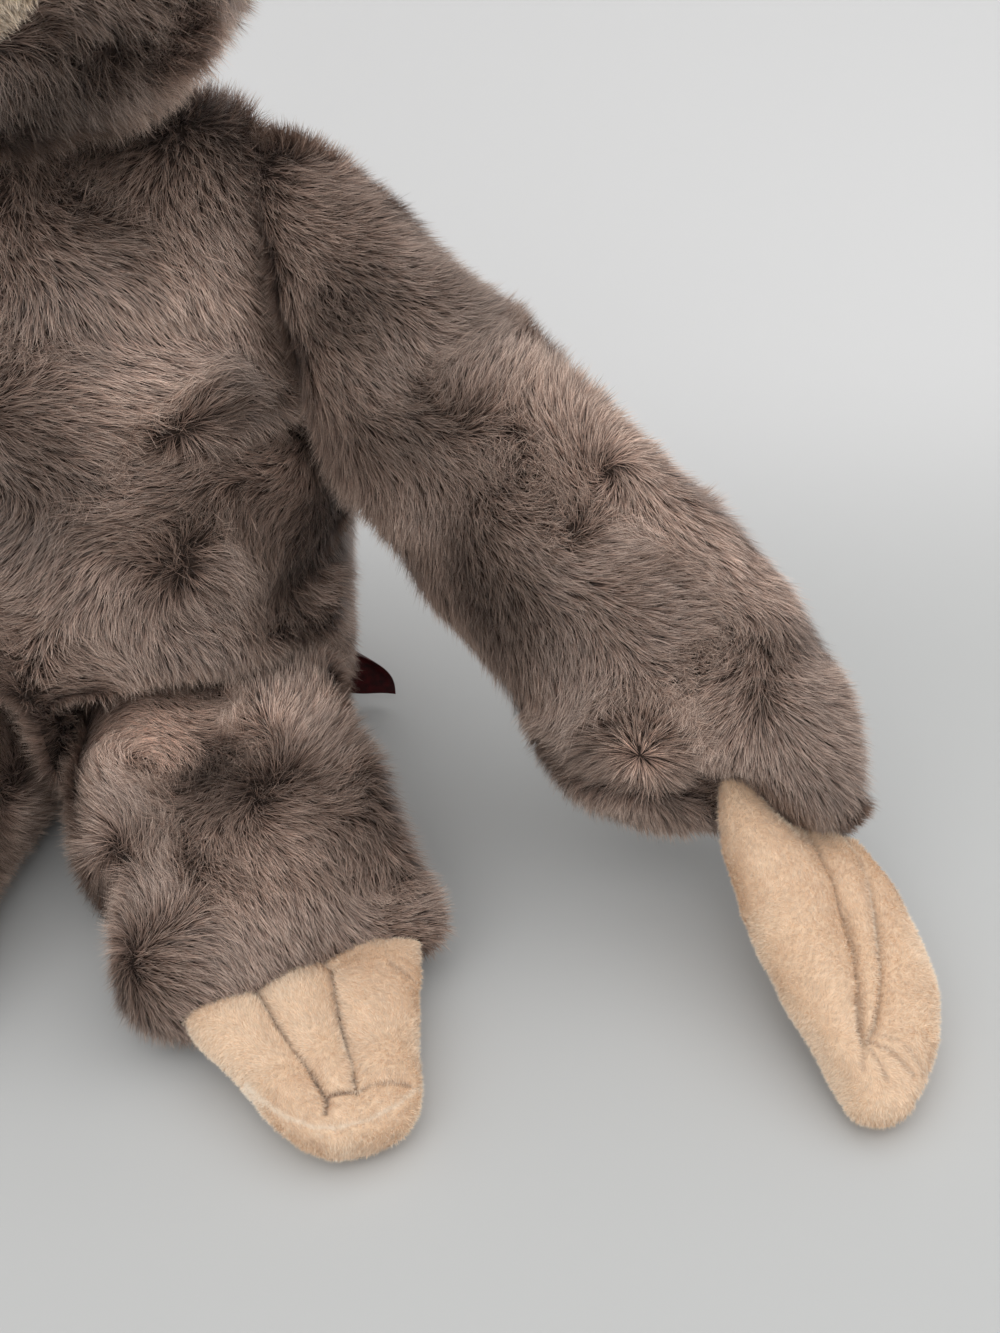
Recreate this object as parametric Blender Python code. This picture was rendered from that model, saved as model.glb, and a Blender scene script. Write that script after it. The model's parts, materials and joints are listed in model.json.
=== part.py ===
"""A seated plush sloth about 36 cm tall.

Long-pile covers with fibre filling make the torso, head, arms and legs. Each limb ends in a short-pile mitt
of three claws. The head, limbs and mitts are stuffed bags of their own, sewn on at seams that bend.
Units are metres. +Z is up, the toy looks along -Y, its left side is +X, and the origin is under the seat.
"""

import math

import bmesh
import bpy
from mathutils import Matrix, Vector

# Fits that all pieces share
gap = 0.0003
filling_gap = 0.0007
thin_room = 0.0012
thin_share = 0.2
overrun = 0.03
unit = Vector((1.0, 1.0, 1.0))
flip = Vector((-1.0, 1.0, 1.0))
rod_points = 16

# Cloth and its pile, as thick as it is when pressed
cover_wall = 0.005
mitt_wall = 0.0022
panel_wall = 0.0015

# Torso
torso_half_width = 0.100
torso_half_depth = 0.078
torso_height = 0.226
torso_hole_radius = 0.015
torso_outline_shares = (
    (0.0, 0.62, 0.58),
    (0.03, 0.77, 0.73),
    (0.085, 0.885, 0.865),
    (0.18, 0.965, 0.955),
    (0.33, 1.0, 1.0),
    (0.48, 0.985, 0.985),
    (0.62, 0.955, 0.94),
    (0.74, 0.93, 0.885),
    (0.84, 0.895, 0.81),
    (0.91, 0.84, 0.71),
    (0.96, 0.73, 0.58),
    (0.99, 0.56, 0.42),
    (1.0, 0.34, 0.24),
)
torso_points = 28
torso_squareness = 2.25

# Neck: a round stub on the torso that fills a socket under the head
neck_radius = 0.042
neck_forward = 0.006
neck_depth = 0.021
neck_clearance = 0.0009
neck_points = 24

# Head
head_half_width = 0.077
head_half_depth = 0.063
head_half_height = 0.066
head_forward = 0.016
head_overlap = 0.003
head_points = 24

# Face, sewn on the head's front
face_half_width = 0.044
face_half_height = 0.0365
face_drop = -0.0075
patch_length = 0.035
patch_width = 0.0195
patch_turn = math.radians(26)
patch_spread = 0.0250
patch_rise = 0.0085
eye_radius = 0.0058
eye_spread = 0.0195
eye_rise = 0.0112
eye_stem_radius = 0.0021
eye_bore_radius = 0.0026
eye_stem_reach = 0.0035
eye_dome_share = 0.75
eye_dome_turns = tuple(math.radians(a) for a in (0, 25, 50, 70, 84))
washer_seat = 0.0016
washer_radius = 0.0085
washer_thickness = 0.0016
muzzle_half_width = 0.0195
muzzle_half_height = 0.0145
muzzle_rise = 0.011
muzzle_drop = 0.0095
muzzle_points = 20
nose_half_width = 0.0095
nose_half_height = 0.0065
nose_rise = 0.004
nose_drop = 0.0060
nose_seat_share = 0.86
nose_points = 16

# Arms, from the shoulder's seam to the straight seam that holds the claws
shoulder_sink = 0.0185
shoulder_spread = torso_half_width - shoulder_sink
shoulder_height = 0.184
shoulder_forward = 0.007
shoulder_tilt = math.radians(12)
shoulder_half_height = 0.040
shoulder_half_depth = 0.036
arm_end = Vector((0.2165, -0.108, 0.040))
arm_root_extra = 0.004
arm_root_pull = 0.022
arm_end_pull = 0.024
arm_end_facing = Vector((-0.25, -0.78, -0.57))
wrist_direction = Vector((0.93, -0.05, -0.36))
arm_sag = Vector((-0.005, 0, -0.005))
arm_bend_share = 0.32
arm_twist_share = 0.60
arm_close_share = 0.84
arm_half_width = 0.0395
arm_half_thickness = 0.0360
arm_shares = (
    (0.0, 0.0, 0.0),
    (0.09, 0.86, 0.93),
    (0.20, 0.88, 0.97),
    (0.33, 0.93, 1.0),
    (0.47, 0.985, 1.0),
    (0.60, 1.0, 1.0),
    (0.73, 1.02, 0.97),
    (0.84, 1.04, 0.95),
    (0.93, 1.04, 0.88),
    (0.98, 1.00, 0.70),
    (1.0, 0.92, 0.48),
)
limb_points = 20
arm_squareness = 2.3
arm_hole_radius = 0.016

# Legs, flat on the ground in front of the torso
hip_forward = 0.050
hip_radius = 0.034
hip_inner = 0.007
hip_outer = 0.094
foot_inner = Vector((0.033, -0.155, 0.0))
foot_outer = Vector((0.121, -0.129, 0.0))
foot_seam_height = 0.019
foot_seam_half = 0.0065
leg_clear_of_ground = 0.0006
leg_thickness_shares = (
    (0.0, 1.0),
    (0.16, 0.985),
    (0.34, 0.93),
    (0.54, 0.82),
    (0.74, 0.66),
    (0.89, 0.45),
    (1.0, 0.0),
)
leg_width_shares = (-1.0, -0.94, -0.80, -0.58, -0.30, 0.0, 0.30, 0.58, 0.80, 0.94, 1.0)
leg_roundness = 3.0
leg_lift_power = 6
leg_side_share = 0.30
leg_hole_radius = 0.013
hip_turns = 8
hip_cutter_points = 24
hip_rise = math.radians(16)
hip_under_share = 0.46

# Claw mitts: three claws in one bag, divided by two stitched channels
hinge_radius = 0.005
hand_half_width = 0.0275
hand_half_thickness = 0.0125
hand_length = 0.083
hand_direction = Vector((-0.13, -0.95, -0.28))
hand_lean = 0.046
hand_sweep = -0.023
hand_curl = math.radians(22)
hand_offset = 0.0114
hand_rise = 0.0080
foot_half_width = 0.0344
foot_half_thickness = 0.0115
foot_length = 0.052
foot_slope = math.radians(11)
foot_lean = 0.005
foot_sweep = 0.002
foot_curl = math.radians(11)
mitt_hole_radius = 0.0022
mitt_hole_points = 8
mitt_edge_turns = (math.radians(24), math.radians(58))
mitt_edge_share = 0.97
hand_shares = (
    (0.0, 0.98, 0.0),
    (0.11, 1.05, 0.72),
    (0.28, 0.99, 1.0),
    (0.48, 0.95, 1.0),
    (0.68, 0.76, 0.9),
    (0.84, 0.5, 0.68),
    (0.95, 0.3, 0.28),
    (1.0, 0.13, -0.25),
)
foot_shares = (
    (0.0, 0.98, 0.0),
    (0.11, 0.9, 0.72),
    (0.28, 0.79, 1.0),
    (0.48, 0.67, 1.0),
    (0.68, 0.56, 0.9),
    (0.84, 0.44, 0.68),
    (0.95, 0.32, 0.28),
    (1.0, 0.2, -0.25),
)
claw_count = 3
claw_valley_share = 0.42
mitt_roundness = 2.6
mitt_side_points = 12

# A bag of pellets in the seat, and a folded label in the torso's left side seam
bag_half_width = 0.050
bag_half_depth = 0.024
bag_height = 0.030
bag_back = 0.016
bag_shares = ((0.0, 0.84), (0.30, 1.0), (0.70, 0.92), (1.0, 0.55))
bag_points = 14
label_width = 0.019
label_reach = 0.012
label_wall = 0.0006
label_height = 0.005
label_back = 0.012
label_bend = math.radians(70)
label_wave = 0.005
label_puff_share = 0.5
label_root_share = 0.6
label_steps = 5

# Shading: edges that turn more than this are sharp
sharp_turn = math.radians(50)


def clear_scene():
    """Removes whatever the file holds, so that the model stands alone."""
    for item in list(bpy.data.objects):
        bpy.data.objects.remove(item, do_unlink=True)


def finish(name, colour, roughness, metallic=0.0):
    """A material of one Principled shader."""
    made = bpy.data.materials.new(name)
    made.use_nodes = True
    shader = made.node_tree.nodes["Principled BSDF"]
    shader.inputs["Base Color"].default_value = (*colour, 1.0)
    shader.inputs["Roughness"].default_value = roughness
    shader.inputs["Metallic"].default_value = metallic
    made.diffuse_color = (*colour, 1.0)
    return made


def solid(name, mesh):
    """An object for a bmesh, with its faces turned outwards."""
    bmesh.ops.recalc_face_normals(mesh, faces=mesh.faces)
    data = bpy.data.meshes.new(name)
    mesh.to_mesh(data)
    mesh.free()
    made = bpy.data.objects.new(name, data)
    bpy.context.scene.collection.objects.link(made)
    return made


def loft(name, rings):
    """A closed solid through rings of points, with a cap on each end.

    All its faces are triangles, so that a form and the same form drawn in are folded alike.
    """
    mesh = bmesh.new()
    rows = [[mesh.verts.new(place) for place in ring] for ring in rings]
    for near, far in zip(rows, rows[1:]):
        for i, corner in enumerate(near):
            j = (i + 1) % len(near)
            mesh.faces.new((corner, near[j], far[i]))
            mesh.faces.new((near[j], far[j], far[i]))
    for row in (rows[0], rows[-1]):
        low, high = 0, len(row) - 1
        while high - low > 1:
            mesh.faces.new((row[low], row[low + 1], row[high]))
            low += 1
            if high - low > 1:
                mesh.faces.new((row[low], row[high - 1], row[high]))
                high -= 1
    return solid(name, mesh)


def ball(name, centre, radii, points):
    """An ellipsoid, with its poles up and down."""
    mesh = bmesh.new()
    bmesh.ops.create_uvsphere(mesh, u_segments=points, v_segments=points // 2, radius=1.0)
    place = Matrix.Translation(centre) @ Matrix.Diagonal((*radii, 1.0))
    bmesh.ops.transform(mesh, matrix=place, verts=mesh.verts)
    return solid(name, mesh)


def rod(name, start, end, radius, points=rod_points):
    """A round bar from one point to another."""
    along = end - start
    turn = along.to_track_quat("Z", "Y").to_matrix().to_4x4()
    mesh = bmesh.new()
    bmesh.ops.create_cone(
        mesh, cap_ends=True, segments=points, radius1=radius, radius2=radius, depth=along.length
    )
    bmesh.ops.transform(mesh, matrix=Matrix.Translation((start + end) / 2) @ turn, verts=mesh.verts)
    return solid(name, mesh)


def shape(target, tool, operation):
    """Cuts, joins or crosses a solid with a tool, which is used up."""
    step = target.modifiers.new("shape", "BOOLEAN")
    step.operation = operation
    step.solver = "EXACT"
    step.object = tool
    bpy.context.view_layer.update()
    view = bpy.context.evaluated_depsgraph_get()
    result = bpy.data.meshes.new_from_object(target.evaluated_get(view))
    target.modifiers.clear()
    target.data = result
    result.name = target.name
    bpy.data.objects.remove(tool, do_unlink=True)
    return target


def cut(target, tool):
    return shape(target, tool, "DIFFERENCE")


def mirrored(source, name):
    """A copy of a solid on the toy's other side."""
    mesh = bmesh.new()
    mesh.from_mesh(source.data)
    bmesh.ops.transform(mesh, matrix=Matrix.Diagonal((*flip, 1.0)), verts=mesh.verts)
    return solid(name, mesh)


def superellipse(angle, power):
    """A point of the unit superellipse."""
    across, up = math.cos(angle), math.sin(angle)
    return (
        math.copysign(abs(across) ** (2 / power), across),
        math.copysign(abs(up) ** (2 / power), up),
    )


def shoulder_axis():
    """Square to the shoulder's seam, outwards and a little up."""
    return Vector((math.cos(shoulder_tilt), 0, math.sin(shoulder_tilt)))


def shoulder_place():
    return Vector((shoulder_spread, -shoulder_forward, shoulder_height))


def neck_place():
    """The centre of the neck's ball."""
    return Vector((0, -neck_forward, torso_height - neck_depth))


def hip_height():
    return hip_radius + leg_clear_of_ground


def hip_share(place):
    """How full the leg is at a place across it, from one side at -1 to the other at 1."""
    full = (1 - abs(place) ** leg_roundness) ** (1 / leg_roundness)
    return leg_side_share + (1 - leg_side_share) * full


def hip_cutter(extra):
    """The room that a leg takes in the torso as it turns, from a drum and the wedge in front of it."""
    rings = []
    spread = (hip_outer - hip_inner) / 2
    middle = (hip_outer + hip_inner) / 2
    for share in leg_width_shares:
        radius = hip_radius * hip_share(share) + extra
        across = middle + share * (spread + extra)
        ring = []
        for i in range(hip_cutter_points):
            angle = math.tau * i / hip_cutter_points
            back, up = radius * math.cos(angle), radius * math.sin(angle)
            ring.append(Vector((across, back - hip_forward, up + hip_height())))
        rings.append(ring)
    drum = loft("drum", rings)
    reach = torso_half_depth + overrun
    radius = hip_radius + extra
    lean = Vector((0, math.sin(hip_rise), math.cos(hip_rise)))
    ahead = Vector((0, -math.cos(hip_rise), math.sin(hip_rise)))
    axis = Vector((0, -hip_forward, hip_height()))
    top = axis + lean * radius
    far = top + ahead * reach
    under = Vector((0, -hip_forward + hip_radius * hip_under_share, -overrun))
    side = [axis + Vector((0, radius * hip_under_share, 0)), top, far, Vector((0, far.y, -overrun)), under]
    inner = Vector((hip_inner - extra, 0, 0))
    outer = Vector((torso_half_width + overrun, 0, 0))
    wedge = loft("wedge", [[place + inner for place in side], [place + outer for place in side]])
    return shape(drum, wedge, "UNION")


def torso_form(inset, skip=1):
    """The torso, drawn in by an inset, with room for the limbs."""
    rings = []
    for up, wide, deep in torso_outline_shares:
        height = inset + up * (torso_height - 2 * inset)
        ring = []
        for i in range(0, torso_points, skip):
            across, forward = superellipse(math.tau * i / torso_points, torso_squareness)
            ring.append(
                Vector(
                    (
                        across * (torso_half_width * wide - inset),
                        forward * (torso_half_depth * deep - inset),
                        height,
                    )
                )
            )
        rings.append(ring)
    body = loft("torso", rings)
    shape(body, ball("stub", neck_place(), unit * (neck_radius - inset), neck_points // skip), "UNION")
    for side in (1, -1):
        out = shoulder_axis()
        seat = shoulder_place() - out * (inset + gap)
        if side < 0:
            out = Vector((-out.x, out.y, out.z))
            seat = Vector((-seat.x, seat.y, seat.z))
        cut(body, rod("seat", seat, seat + out * overrun, shoulder_half_height + overrun * 2, torso_points))
        drum = hip_cutter(inset + gap)
        if side < 0:
            other = mirrored(drum, "drum")
            bpy.data.objects.remove(drum, do_unlink=True)
            drum = other
        cut(body, drum)
    return body


def head_place():
    return Vector((0, -head_forward, torso_height + head_half_height - head_overlap + gap))


def head_ball(grow, points=head_points):
    """The head's ellipsoid, grown or drawn in."""
    radii = Vector((head_half_width + grow, head_half_depth + grow, head_half_height + grow))
    return ball("head", head_place(), radii, points)


def head_form(inset, skip=1):
    """The head, drawn in by an inset, with its socket for the neck."""
    body = head_ball(-inset, head_points // skip)
    socket = neck_radius + neck_clearance + inset
    return cut(body, ball("socket", neck_place(), unit * socket, neck_points))


def on_head(across, rise, proud):
    """A point over the head's front, and the way out of the cloth there."""
    radii = Vector((head_half_width, head_half_depth, head_half_height))
    deep = math.sqrt(1 - (across / radii.x) ** 2 - (rise / radii.z) ** 2)
    local = Vector((across, -radii.y * deep, rise))
    out = Vector([a / r / r for a, r in zip(local, radii)]).normalized()
    return head_place() + local + out * proud, out


def ease(low, high, at):
    """Rises smoothly from 0 to 1 between two places."""
    part = min(1, max(0, (at - low) / (high - low)))
    return part * part * (3 - 2 * part)


def thinnest(inset, wall):
    """Half an inner form's thickness where its cover closes: a filling's is less than its room's."""
    return (wall + thin_room - inset) * thin_share


def arm_frame(at):
    """A place on the arm's centre line, with the ways square to its section, across it and through it."""
    start, end = shoulder_place(), arm_end
    leave = start + shoulder_axis() * arm_root_pull + arm_sag
    arrive = end - arm_end_facing.normalized() * arm_end_pull + arm_sag
    a, b = 1 - at, at
    place = start * a**3 + leave * (3 * a * a * b) + arrive * (3 * a * b * b) + end * b**3
    facing = shoulder_axis().lerp((end - start).normalized(), ease(0, arm_bend_share, at))
    facing = facing.lerp(arm_end_facing.normalized(), ease(arm_twist_share, 1, at)).normalized()
    across = Vector((0, 0, 1)).lerp(wrist_direction, ease(0, arm_twist_share, at))
    across = (across - facing * across.dot(facing)).normalized()
    return place, facing, across, facing.cross(across)


def arm_form(inset, skip=1):
    """The arm, swelling from the shoulder and pressed flat at the wrist's seam."""
    rings = []
    for at, wide, thick in arm_shares:
        place, along, across, through = arm_frame(at)
        if at == 0:
            half_width, half_thickness = shoulder_half_height - inset, shoulder_half_depth - inset
        else:
            half_width, half_thickness = arm_half_width * wide - inset, arm_half_thickness * thick - inset
        if at == 0:
            place = place - along * arm_root_extra
        place = place - along * (inset * max(0, (at - arm_close_share) / (1 - arm_close_share)))
        half_thickness = max(half_thickness, thinnest(inset, cover_wall))
        ring = []
        for i in range(0, limb_points, skip):
            x, y = superellipse(math.tau * i / limb_points, arm_squareness)
            ring.append(place + across * (x * half_width) + through * (y * half_thickness))
        rings.append(ring)
    root = shoulder_place() + shoulder_axis() * inset
    behind = root - shoulder_axis() * overrun
    return cut(loft("arm", rings), rod("root", behind, root, shoulder_half_height + overrun, limb_points))


def leg_thickness(at):
    """Reads the leg's table of thickness at any place along it."""
    for low, high in zip(leg_thickness_shares, leg_thickness_shares[1:]):
        if at <= high[0]:
            return low[1] + (high[1] - low[1]) * (at - low[0]) / (high[0] - low[0])
    return leg_thickness_shares[-1][1]


def leg_form(inset, skip=1):
    """The leg: a round root that turns about the hip, and a flat pad that thins to the foot's seam."""
    columns = leg_width_shares[::skip]
    leg_rows = [row[0] for row in leg_thickness_shares]
    turns = hip_turns // skip
    rings = []
    for share in columns:
        full = hip_share(share)
        root_x = (hip_inner + hip_outer) / 2 + share * ((hip_outer - hip_inner) / 2 - inset)
        root = Vector((root_x, -hip_forward, hip_height()))
        side = (foot_outer - foot_inner).normalized()
        part = (share + 1) / 2
        toe = foot_inner.lerp(foot_outer, part) - side * (share * inset)
        ahead = side.cross(Vector((0, 0, 1)))
        toe = toe - ahead * inset
        toe.z = foot_seam_height
        upper, lower = [], []
        for at in leg_rows:
            place = root.lerp(toe, at)
            reached = at * (root - toe).length / ((root - toe).length + inset)
            half = foot_seam_half + (hip_radius - foot_seam_half) * leg_thickness(reached)
            lift = (foot_seam_height - foot_seam_half) * reached**leg_lift_power
            place.z = half + leg_clear_of_ground + lift
            half = max(half * full - inset, thinnest(inset, cover_wall))
            upper.append(place + Vector((0, 0, half)))
            lower.append(place - Vector((0, 0, half)))
        radius = hip_radius * full - inset
        back = []
        for i in range(1, turns):
            angle = math.pi / 2 - math.pi * i / turns
            back.append(root + Vector((0, radius * math.cos(angle), radius * math.sin(angle))))
        rings.append(upper[::-1] + back + lower)
    return loft("leg", rings)


def claw_depth(place, fade):
    """How thick the mitt is across its width: three claws with a stitched valley between each two."""
    side = (1 - abs(place) ** mitt_roundness) ** (1 / mitt_roundness)
    claw = abs(math.sin(claw_count * math.pi * (place + 1) / 2))
    return side * (1 - claw_valley_share * fade * (1 - claw))


def mitt_ring(centre, across, up, half_width, half_thickness, bend, fade, skip):
    """One section of a mitt, bent down at its sides."""
    top, bottom = [], []
    for i in range(0, mitt_side_points + 1, skip):
        place = -1 + 2 * i / mitt_side_points
        turn = place * bend / 2
        out = up * math.cos(turn) + across * math.sin(turn)
        if bend:
            radius = half_width / (bend / 2)
            spine = centre + across * (radius * math.sin(turn)) + up * (radius * (math.cos(turn) - 1))
        else:
            spine = centre + across * (place * half_width)
        high = half_thickness * claw_depth(place, fade)
        top.append(spine + out * high)
        bottom.append(spine - out * high)
    return top + bottom[-2:0:-1]


def mitt_form(seam, across, ahead, sizes, inset, skip=1):
    """Three claws side by side in one bag, from the round edge at the seam to their common tip."""
    half_width, half_thickness, length, lean, sweep, curl, shares = sizes
    up = ahead.cross(across).normalized()
    edge = hinge_radius - inset
    rings = []
    for turn in mitt_edge_turns:
        centre = seam - ahead * (edge * math.cos(turn))
        wide_here = half_width * mitt_edge_share - inset
        rings.append(mitt_ring(centre, across, up, wide_here, edge * math.sin(turn), 0, 0, skip))
    for at, wide, thick in shares:
        centre = seam + ahead * (at * (length - inset)) + across * (lean * at + sweep * at * at)
        full = hinge_radius + (half_thickness - hinge_radius) * thick
        full = max(full - inset, thinnest(inset, mitt_wall))
        wide_here = max(half_width * wide - inset, full)
        rings.append(mitt_ring(centre, across, up, wide_here, full, curl * thick, thick, skip))
    return loft("mitt", rings)


def bag_of(name, form, wall, hole, cloth, filler, skip=2):
    """A sewn cover with its opening, and the filling inside it."""
    cover = form(0.0, 1)
    cut(cover, form(wall, skip))
    cut(cover, hole)
    filling = form(wall + filling_gap, skip)
    name_and_dress(cover, name + "_cover", cloth)
    name_and_dress(filling, name + "_filling", filler)
    return [cover, filling]


def name_and_dress(item, name, cloth):
    """Gives a solid its name and its one material."""
    item.name = name
    item.data.name = name
    item.data.materials.clear()
    item.data.materials.append(cloth)
    return item


def right_copies(items):
    """The same pieces on the toy's right side."""
    made = []
    for item in items:
        twin = mirrored(item, item.name.replace("left", "right"))
        made.append(name_and_dress(twin, twin.name, item.data.materials[0]))
    return made


def pivot(name, place, items):
    """An empty on a joint's axis, which carries the pieces that turn about it."""
    made = bpy.data.objects.new(name, None)
    bpy.context.scene.collection.objects.link(made)
    made.location = place
    bpy.context.view_layer.update()
    for item in items:
        item.parent = made
        item.matrix_parent_inverse = made.matrix_world.inverted()
    return made


def make_torso():
    """The trunk: its cover, its filling, a bag of pellets in the seat and a label in the side seam."""
    neck = neck_place()
    hole = rod("hole", neck, neck + Vector((0, 0, neck_radius + overrun)), torso_hole_radius)
    cover, filling = bag_of("torso", torso_form, cover_wall, hole, plush, fibre)
    cut(filling, pellet_bag(gap, overrun))
    bag = name_and_dress(pellet_bag(0, 0), "pellet_bag", linen)
    label = name_and_dress(cut(label_strip(), torso_form(-gap)), "side_label", satin)
    return [cover, filling, bag, label]


def pellet_bag(grow, drop):
    """A flat round cushion. As a tool it is grown, and reaches down through the floor of what it cuts."""
    rings = []
    low = cover_wall + gap
    for up, wide in bag_shares:
        height = low + up * bag_height + (2 * up - 1) * grow
        if up == 0:
            height -= drop
        ring = []
        for i in range(bag_points):
            angle = math.tau * i / bag_points
            x = math.cos(angle) * (bag_half_width * wide + grow)
            y = math.sin(angle) * (bag_half_depth * wide + grow)
            ring.append(Vector((x, y + bag_back, height)))
        rings.append(ring)
    return loft("bag", rings)


def label_strip():
    """A satin ribbon folded in half, with its fold outside, bent a little towards the front."""
    inside = torso_half_width * label_root_share
    path = []
    for i in range(label_steps + 1):
        part = i / label_steps
        turn = label_bend * part
        path.append((Vector((inside + (label_reach + torso_half_width - inside) * part, 0, 0)), turn))
    ring = []
    for side in (1, -1):
        for place, turn in path if side > 0 else path[::-1]:
            wave = label_wave * math.sin(turn)
            thick = side * label_wall * (1 + label_puff_share * math.sin(turn))
            ring.append(Vector((place.x, label_back - wave + thick, 0)))
    low, high = Vector((0, 0, label_height)), Vector((0, 0, label_height + label_width))
    return loft("label", [[place + low for place in ring], [place + high for place in ring]])


def make_head():
    """The head with its filling, and the face that is sewn and pegged on it."""
    neck = neck_place()
    hole = rod("hole", neck, neck + Vector((0, 0, neck_radius + cover_wall * 2)), torso_hole_radius)
    cover, filling = bag_of("head", head_form, cover_wall, hole, plush, fibre, skip=1)
    panel = face_layer("face_panel", gap, oval(0, -face_drop, face_half_width, face_half_height, 0), cream)
    made = [cover, filling, panel]
    for side, word in ((1, "left"), (-1, "right")):
        outline = oval(side * patch_spread, patch_rise, patch_length / 2, patch_width / 2, side * patch_turn)
        patch = face_layer("eye_patch_" + word, gap * 2 + panel_wall, outline, dark)
        made += [patch] + make_eye(side, word, patch, panel, cover, filling)
    muzzle = muzzle_ball(0)
    cut(muzzle, head_ball(gap * 2 + panel_wall))
    made.append(name_and_dress(muzzle, "muzzle", cream))
    made.append(name_and_dress(cut(nose_ball(), muzzle_ball(gap)), "nose", dark))
    return made


def oval(across, rise, half_length, half_width, turn):
    """A prism with an oval outline, from the middle of the head out past its front."""
    ring = []
    lean = Matrix.Rotation(turn, 3, "Y")
    for i in range(head_points):
        angle = math.tau * i / head_points
        ring.append(lean @ Vector((half_length * math.cos(angle), 0, half_width * math.sin(angle))))
    middle = head_place() + Vector((across, 0, rise))
    front = Vector((0, -head_half_depth - overrun, 0))
    return loft("oval", [[middle + place for place in ring], [middle + place + front for place in ring]])


def face_layer(name, proud, outline, cloth):
    """A piece of cloth that follows the head's front."""
    layer = head_ball(proud + panel_wall)
    cut(layer, head_ball(proud))
    shape(layer, outline, "INTERSECT")
    return name_and_dress(layer, name, cloth)


def turned(name, place, out, outline):
    """A turned solid about a line, from (distance along it, radius) pairs."""
    turn = out.to_track_quat("Z", "Y").to_matrix()
    rings = []
    for along, radius in outline:
        ring = []
        for i in range(rod_points):
            angle = math.tau * i / rod_points
            ring.append(place + turn @ Vector((radius * math.cos(angle), radius * math.sin(angle), along)))
        rings.append(ring)
    return loft(name, rings)


def make_eye(side, word, patch, panel, cover, filling):
    """A moulded eye whose stem goes through the cloth, and the washer that locks it from inside."""
    place, out = on_head(side * eye_spread, eye_rise, 0)
    back = gap * 3 + panel_wall * 2
    inside = -cover_wall - washer_seat
    end = inside - washer_thickness - eye_stem_reach
    outline = [(end, eye_stem_radius), (back, eye_stem_radius)]
    for turn in eye_dome_turns:
        outline.append((back + eye_radius * eye_dome_share * math.sin(turn), eye_radius * math.cos(turn)))
    eye = turned("eye_" + word, place, out, outline)
    outline = [(inside - washer_thickness, washer_radius), (inside, washer_radius)]
    washer = turned("eye_washer_" + word, place, out, outline)
    cut(washer, rod("bore", place - out * overrun, place + out * overrun, eye_bore_radius))
    for item in (patch, panel, cover):
        cut(item, rod("bore", place - out * overrun, place + out * overrun, eye_bore_radius))
    pocket = rod("pocket", place + out * (end - gap), place + out * overrun, washer_radius + gap)
    cut(filling, pocket)
    return [name_and_dress(eye, eye.name, black), name_and_dress(washer, washer.name, clear_plastic)]


def muzzle_ball(grow):
    place, out = on_head(0, -muzzle_drop, 0)
    radii = Vector((muzzle_half_width + grow, muzzle_rise + grow, muzzle_half_height + grow))
    return ball("muzzle", place, radii, muzzle_points)


def nose_ball():
    place, out = on_head(0, -muzzle_drop, 0)
    seat = place + Vector((0, -muzzle_rise * nose_seat_share, nose_drop))
    return ball("nose", seat, Vector((nose_half_width, nose_rise, nose_half_height)), nose_points)


def make_arm():
    """The left arm, and the claws at its end."""
    out = shoulder_axis()
    seat = shoulder_place()
    hole = rod("hole", seat - out * overrun, seat + out * cover_wall * 2, arm_hole_radius)
    arm = bag_of("arm_left", arm_form, cover_wall, hole, plush, fibre)
    place, along, across, through = arm_frame(1.0)
    seam = place + along * (hinge_radius + gap) + across * hand_offset + through * hand_rise
    ahead = hand_direction - across * hand_direction.dot(across)
    ahead.normalize()
    sizes = (
        hand_half_width,
        hand_half_thickness,
        hand_length,
        hand_lean,
        hand_sweep,
        hand_curl,
        hand_shares,
    )
    hole = rod("hole", seam - ahead * overrun, seam, mitt_hole_radius, mitt_hole_points)

    def form(inset, skip):
        return mitt_form(seam, across, ahead, sizes, inset, skip)

    hand = bag_of("hand_left", form, mitt_wall, hole, minky, fibre)
    return arm, hand, seam, across


def make_leg():
    """The left leg, and the claws at its end."""
    root = Vector(((hip_inner + hip_outer) / 2, -hip_forward, hip_height()))
    hole = rod("hole", root, root + Vector((0, hip_radius + overrun, 0)), leg_hole_radius)
    leg = bag_of("leg_left", leg_form, cover_wall, hole, plush, fibre)
    across = (foot_outer - foot_inner).normalized()
    level = across.cross(Vector((0, 0, 1)))
    seam = (foot_inner + foot_outer) / 2 + level * (hinge_radius + gap)
    seam.z = foot_seam_height
    ahead = level * math.cos(foot_slope) - Vector((0, 0, math.sin(foot_slope)))
    sizes = (
        foot_half_width,
        foot_half_thickness,
        foot_length,
        foot_lean,
        foot_sweep,
        foot_curl,
        foot_shares,
    )
    hole = rod("hole", seam - ahead * overrun, seam, mitt_hole_radius, mitt_hole_points)

    def form(inset, skip):
        return mitt_form(seam, across, ahead, sizes, inset, skip)

    foot = bag_of("foot_left", form, mitt_wall, hole, minky, fibre)
    return leg, foot, seam, across, root


clear_scene()
plush = finish("brown plush", (0.13, 0.09, 0.07), 0.95)
minky = finish("beige short pile", (0.72, 0.52, 0.37), 0.9)
cream = finish("pale short pile", (0.62, 0.50, 0.38), 0.9)
dark = finish("dark short pile", (0.05, 0.032, 0.025), 0.9)
fibre = finish("fibre filling", (0.85, 0.85, 0.83), 1.0)
linen = finish("pellet bag cloth", (0.7, 0.68, 0.62), 0.9)
satin = finish("red satin", (0.18, 0.004, 0.006), 0.5)
black = finish("black plastic", (0.01, 0.01, 0.01), 0.2)
clear_plastic = finish("washer plastic", (0.8, 0.8, 0.8), 0.4)

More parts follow.
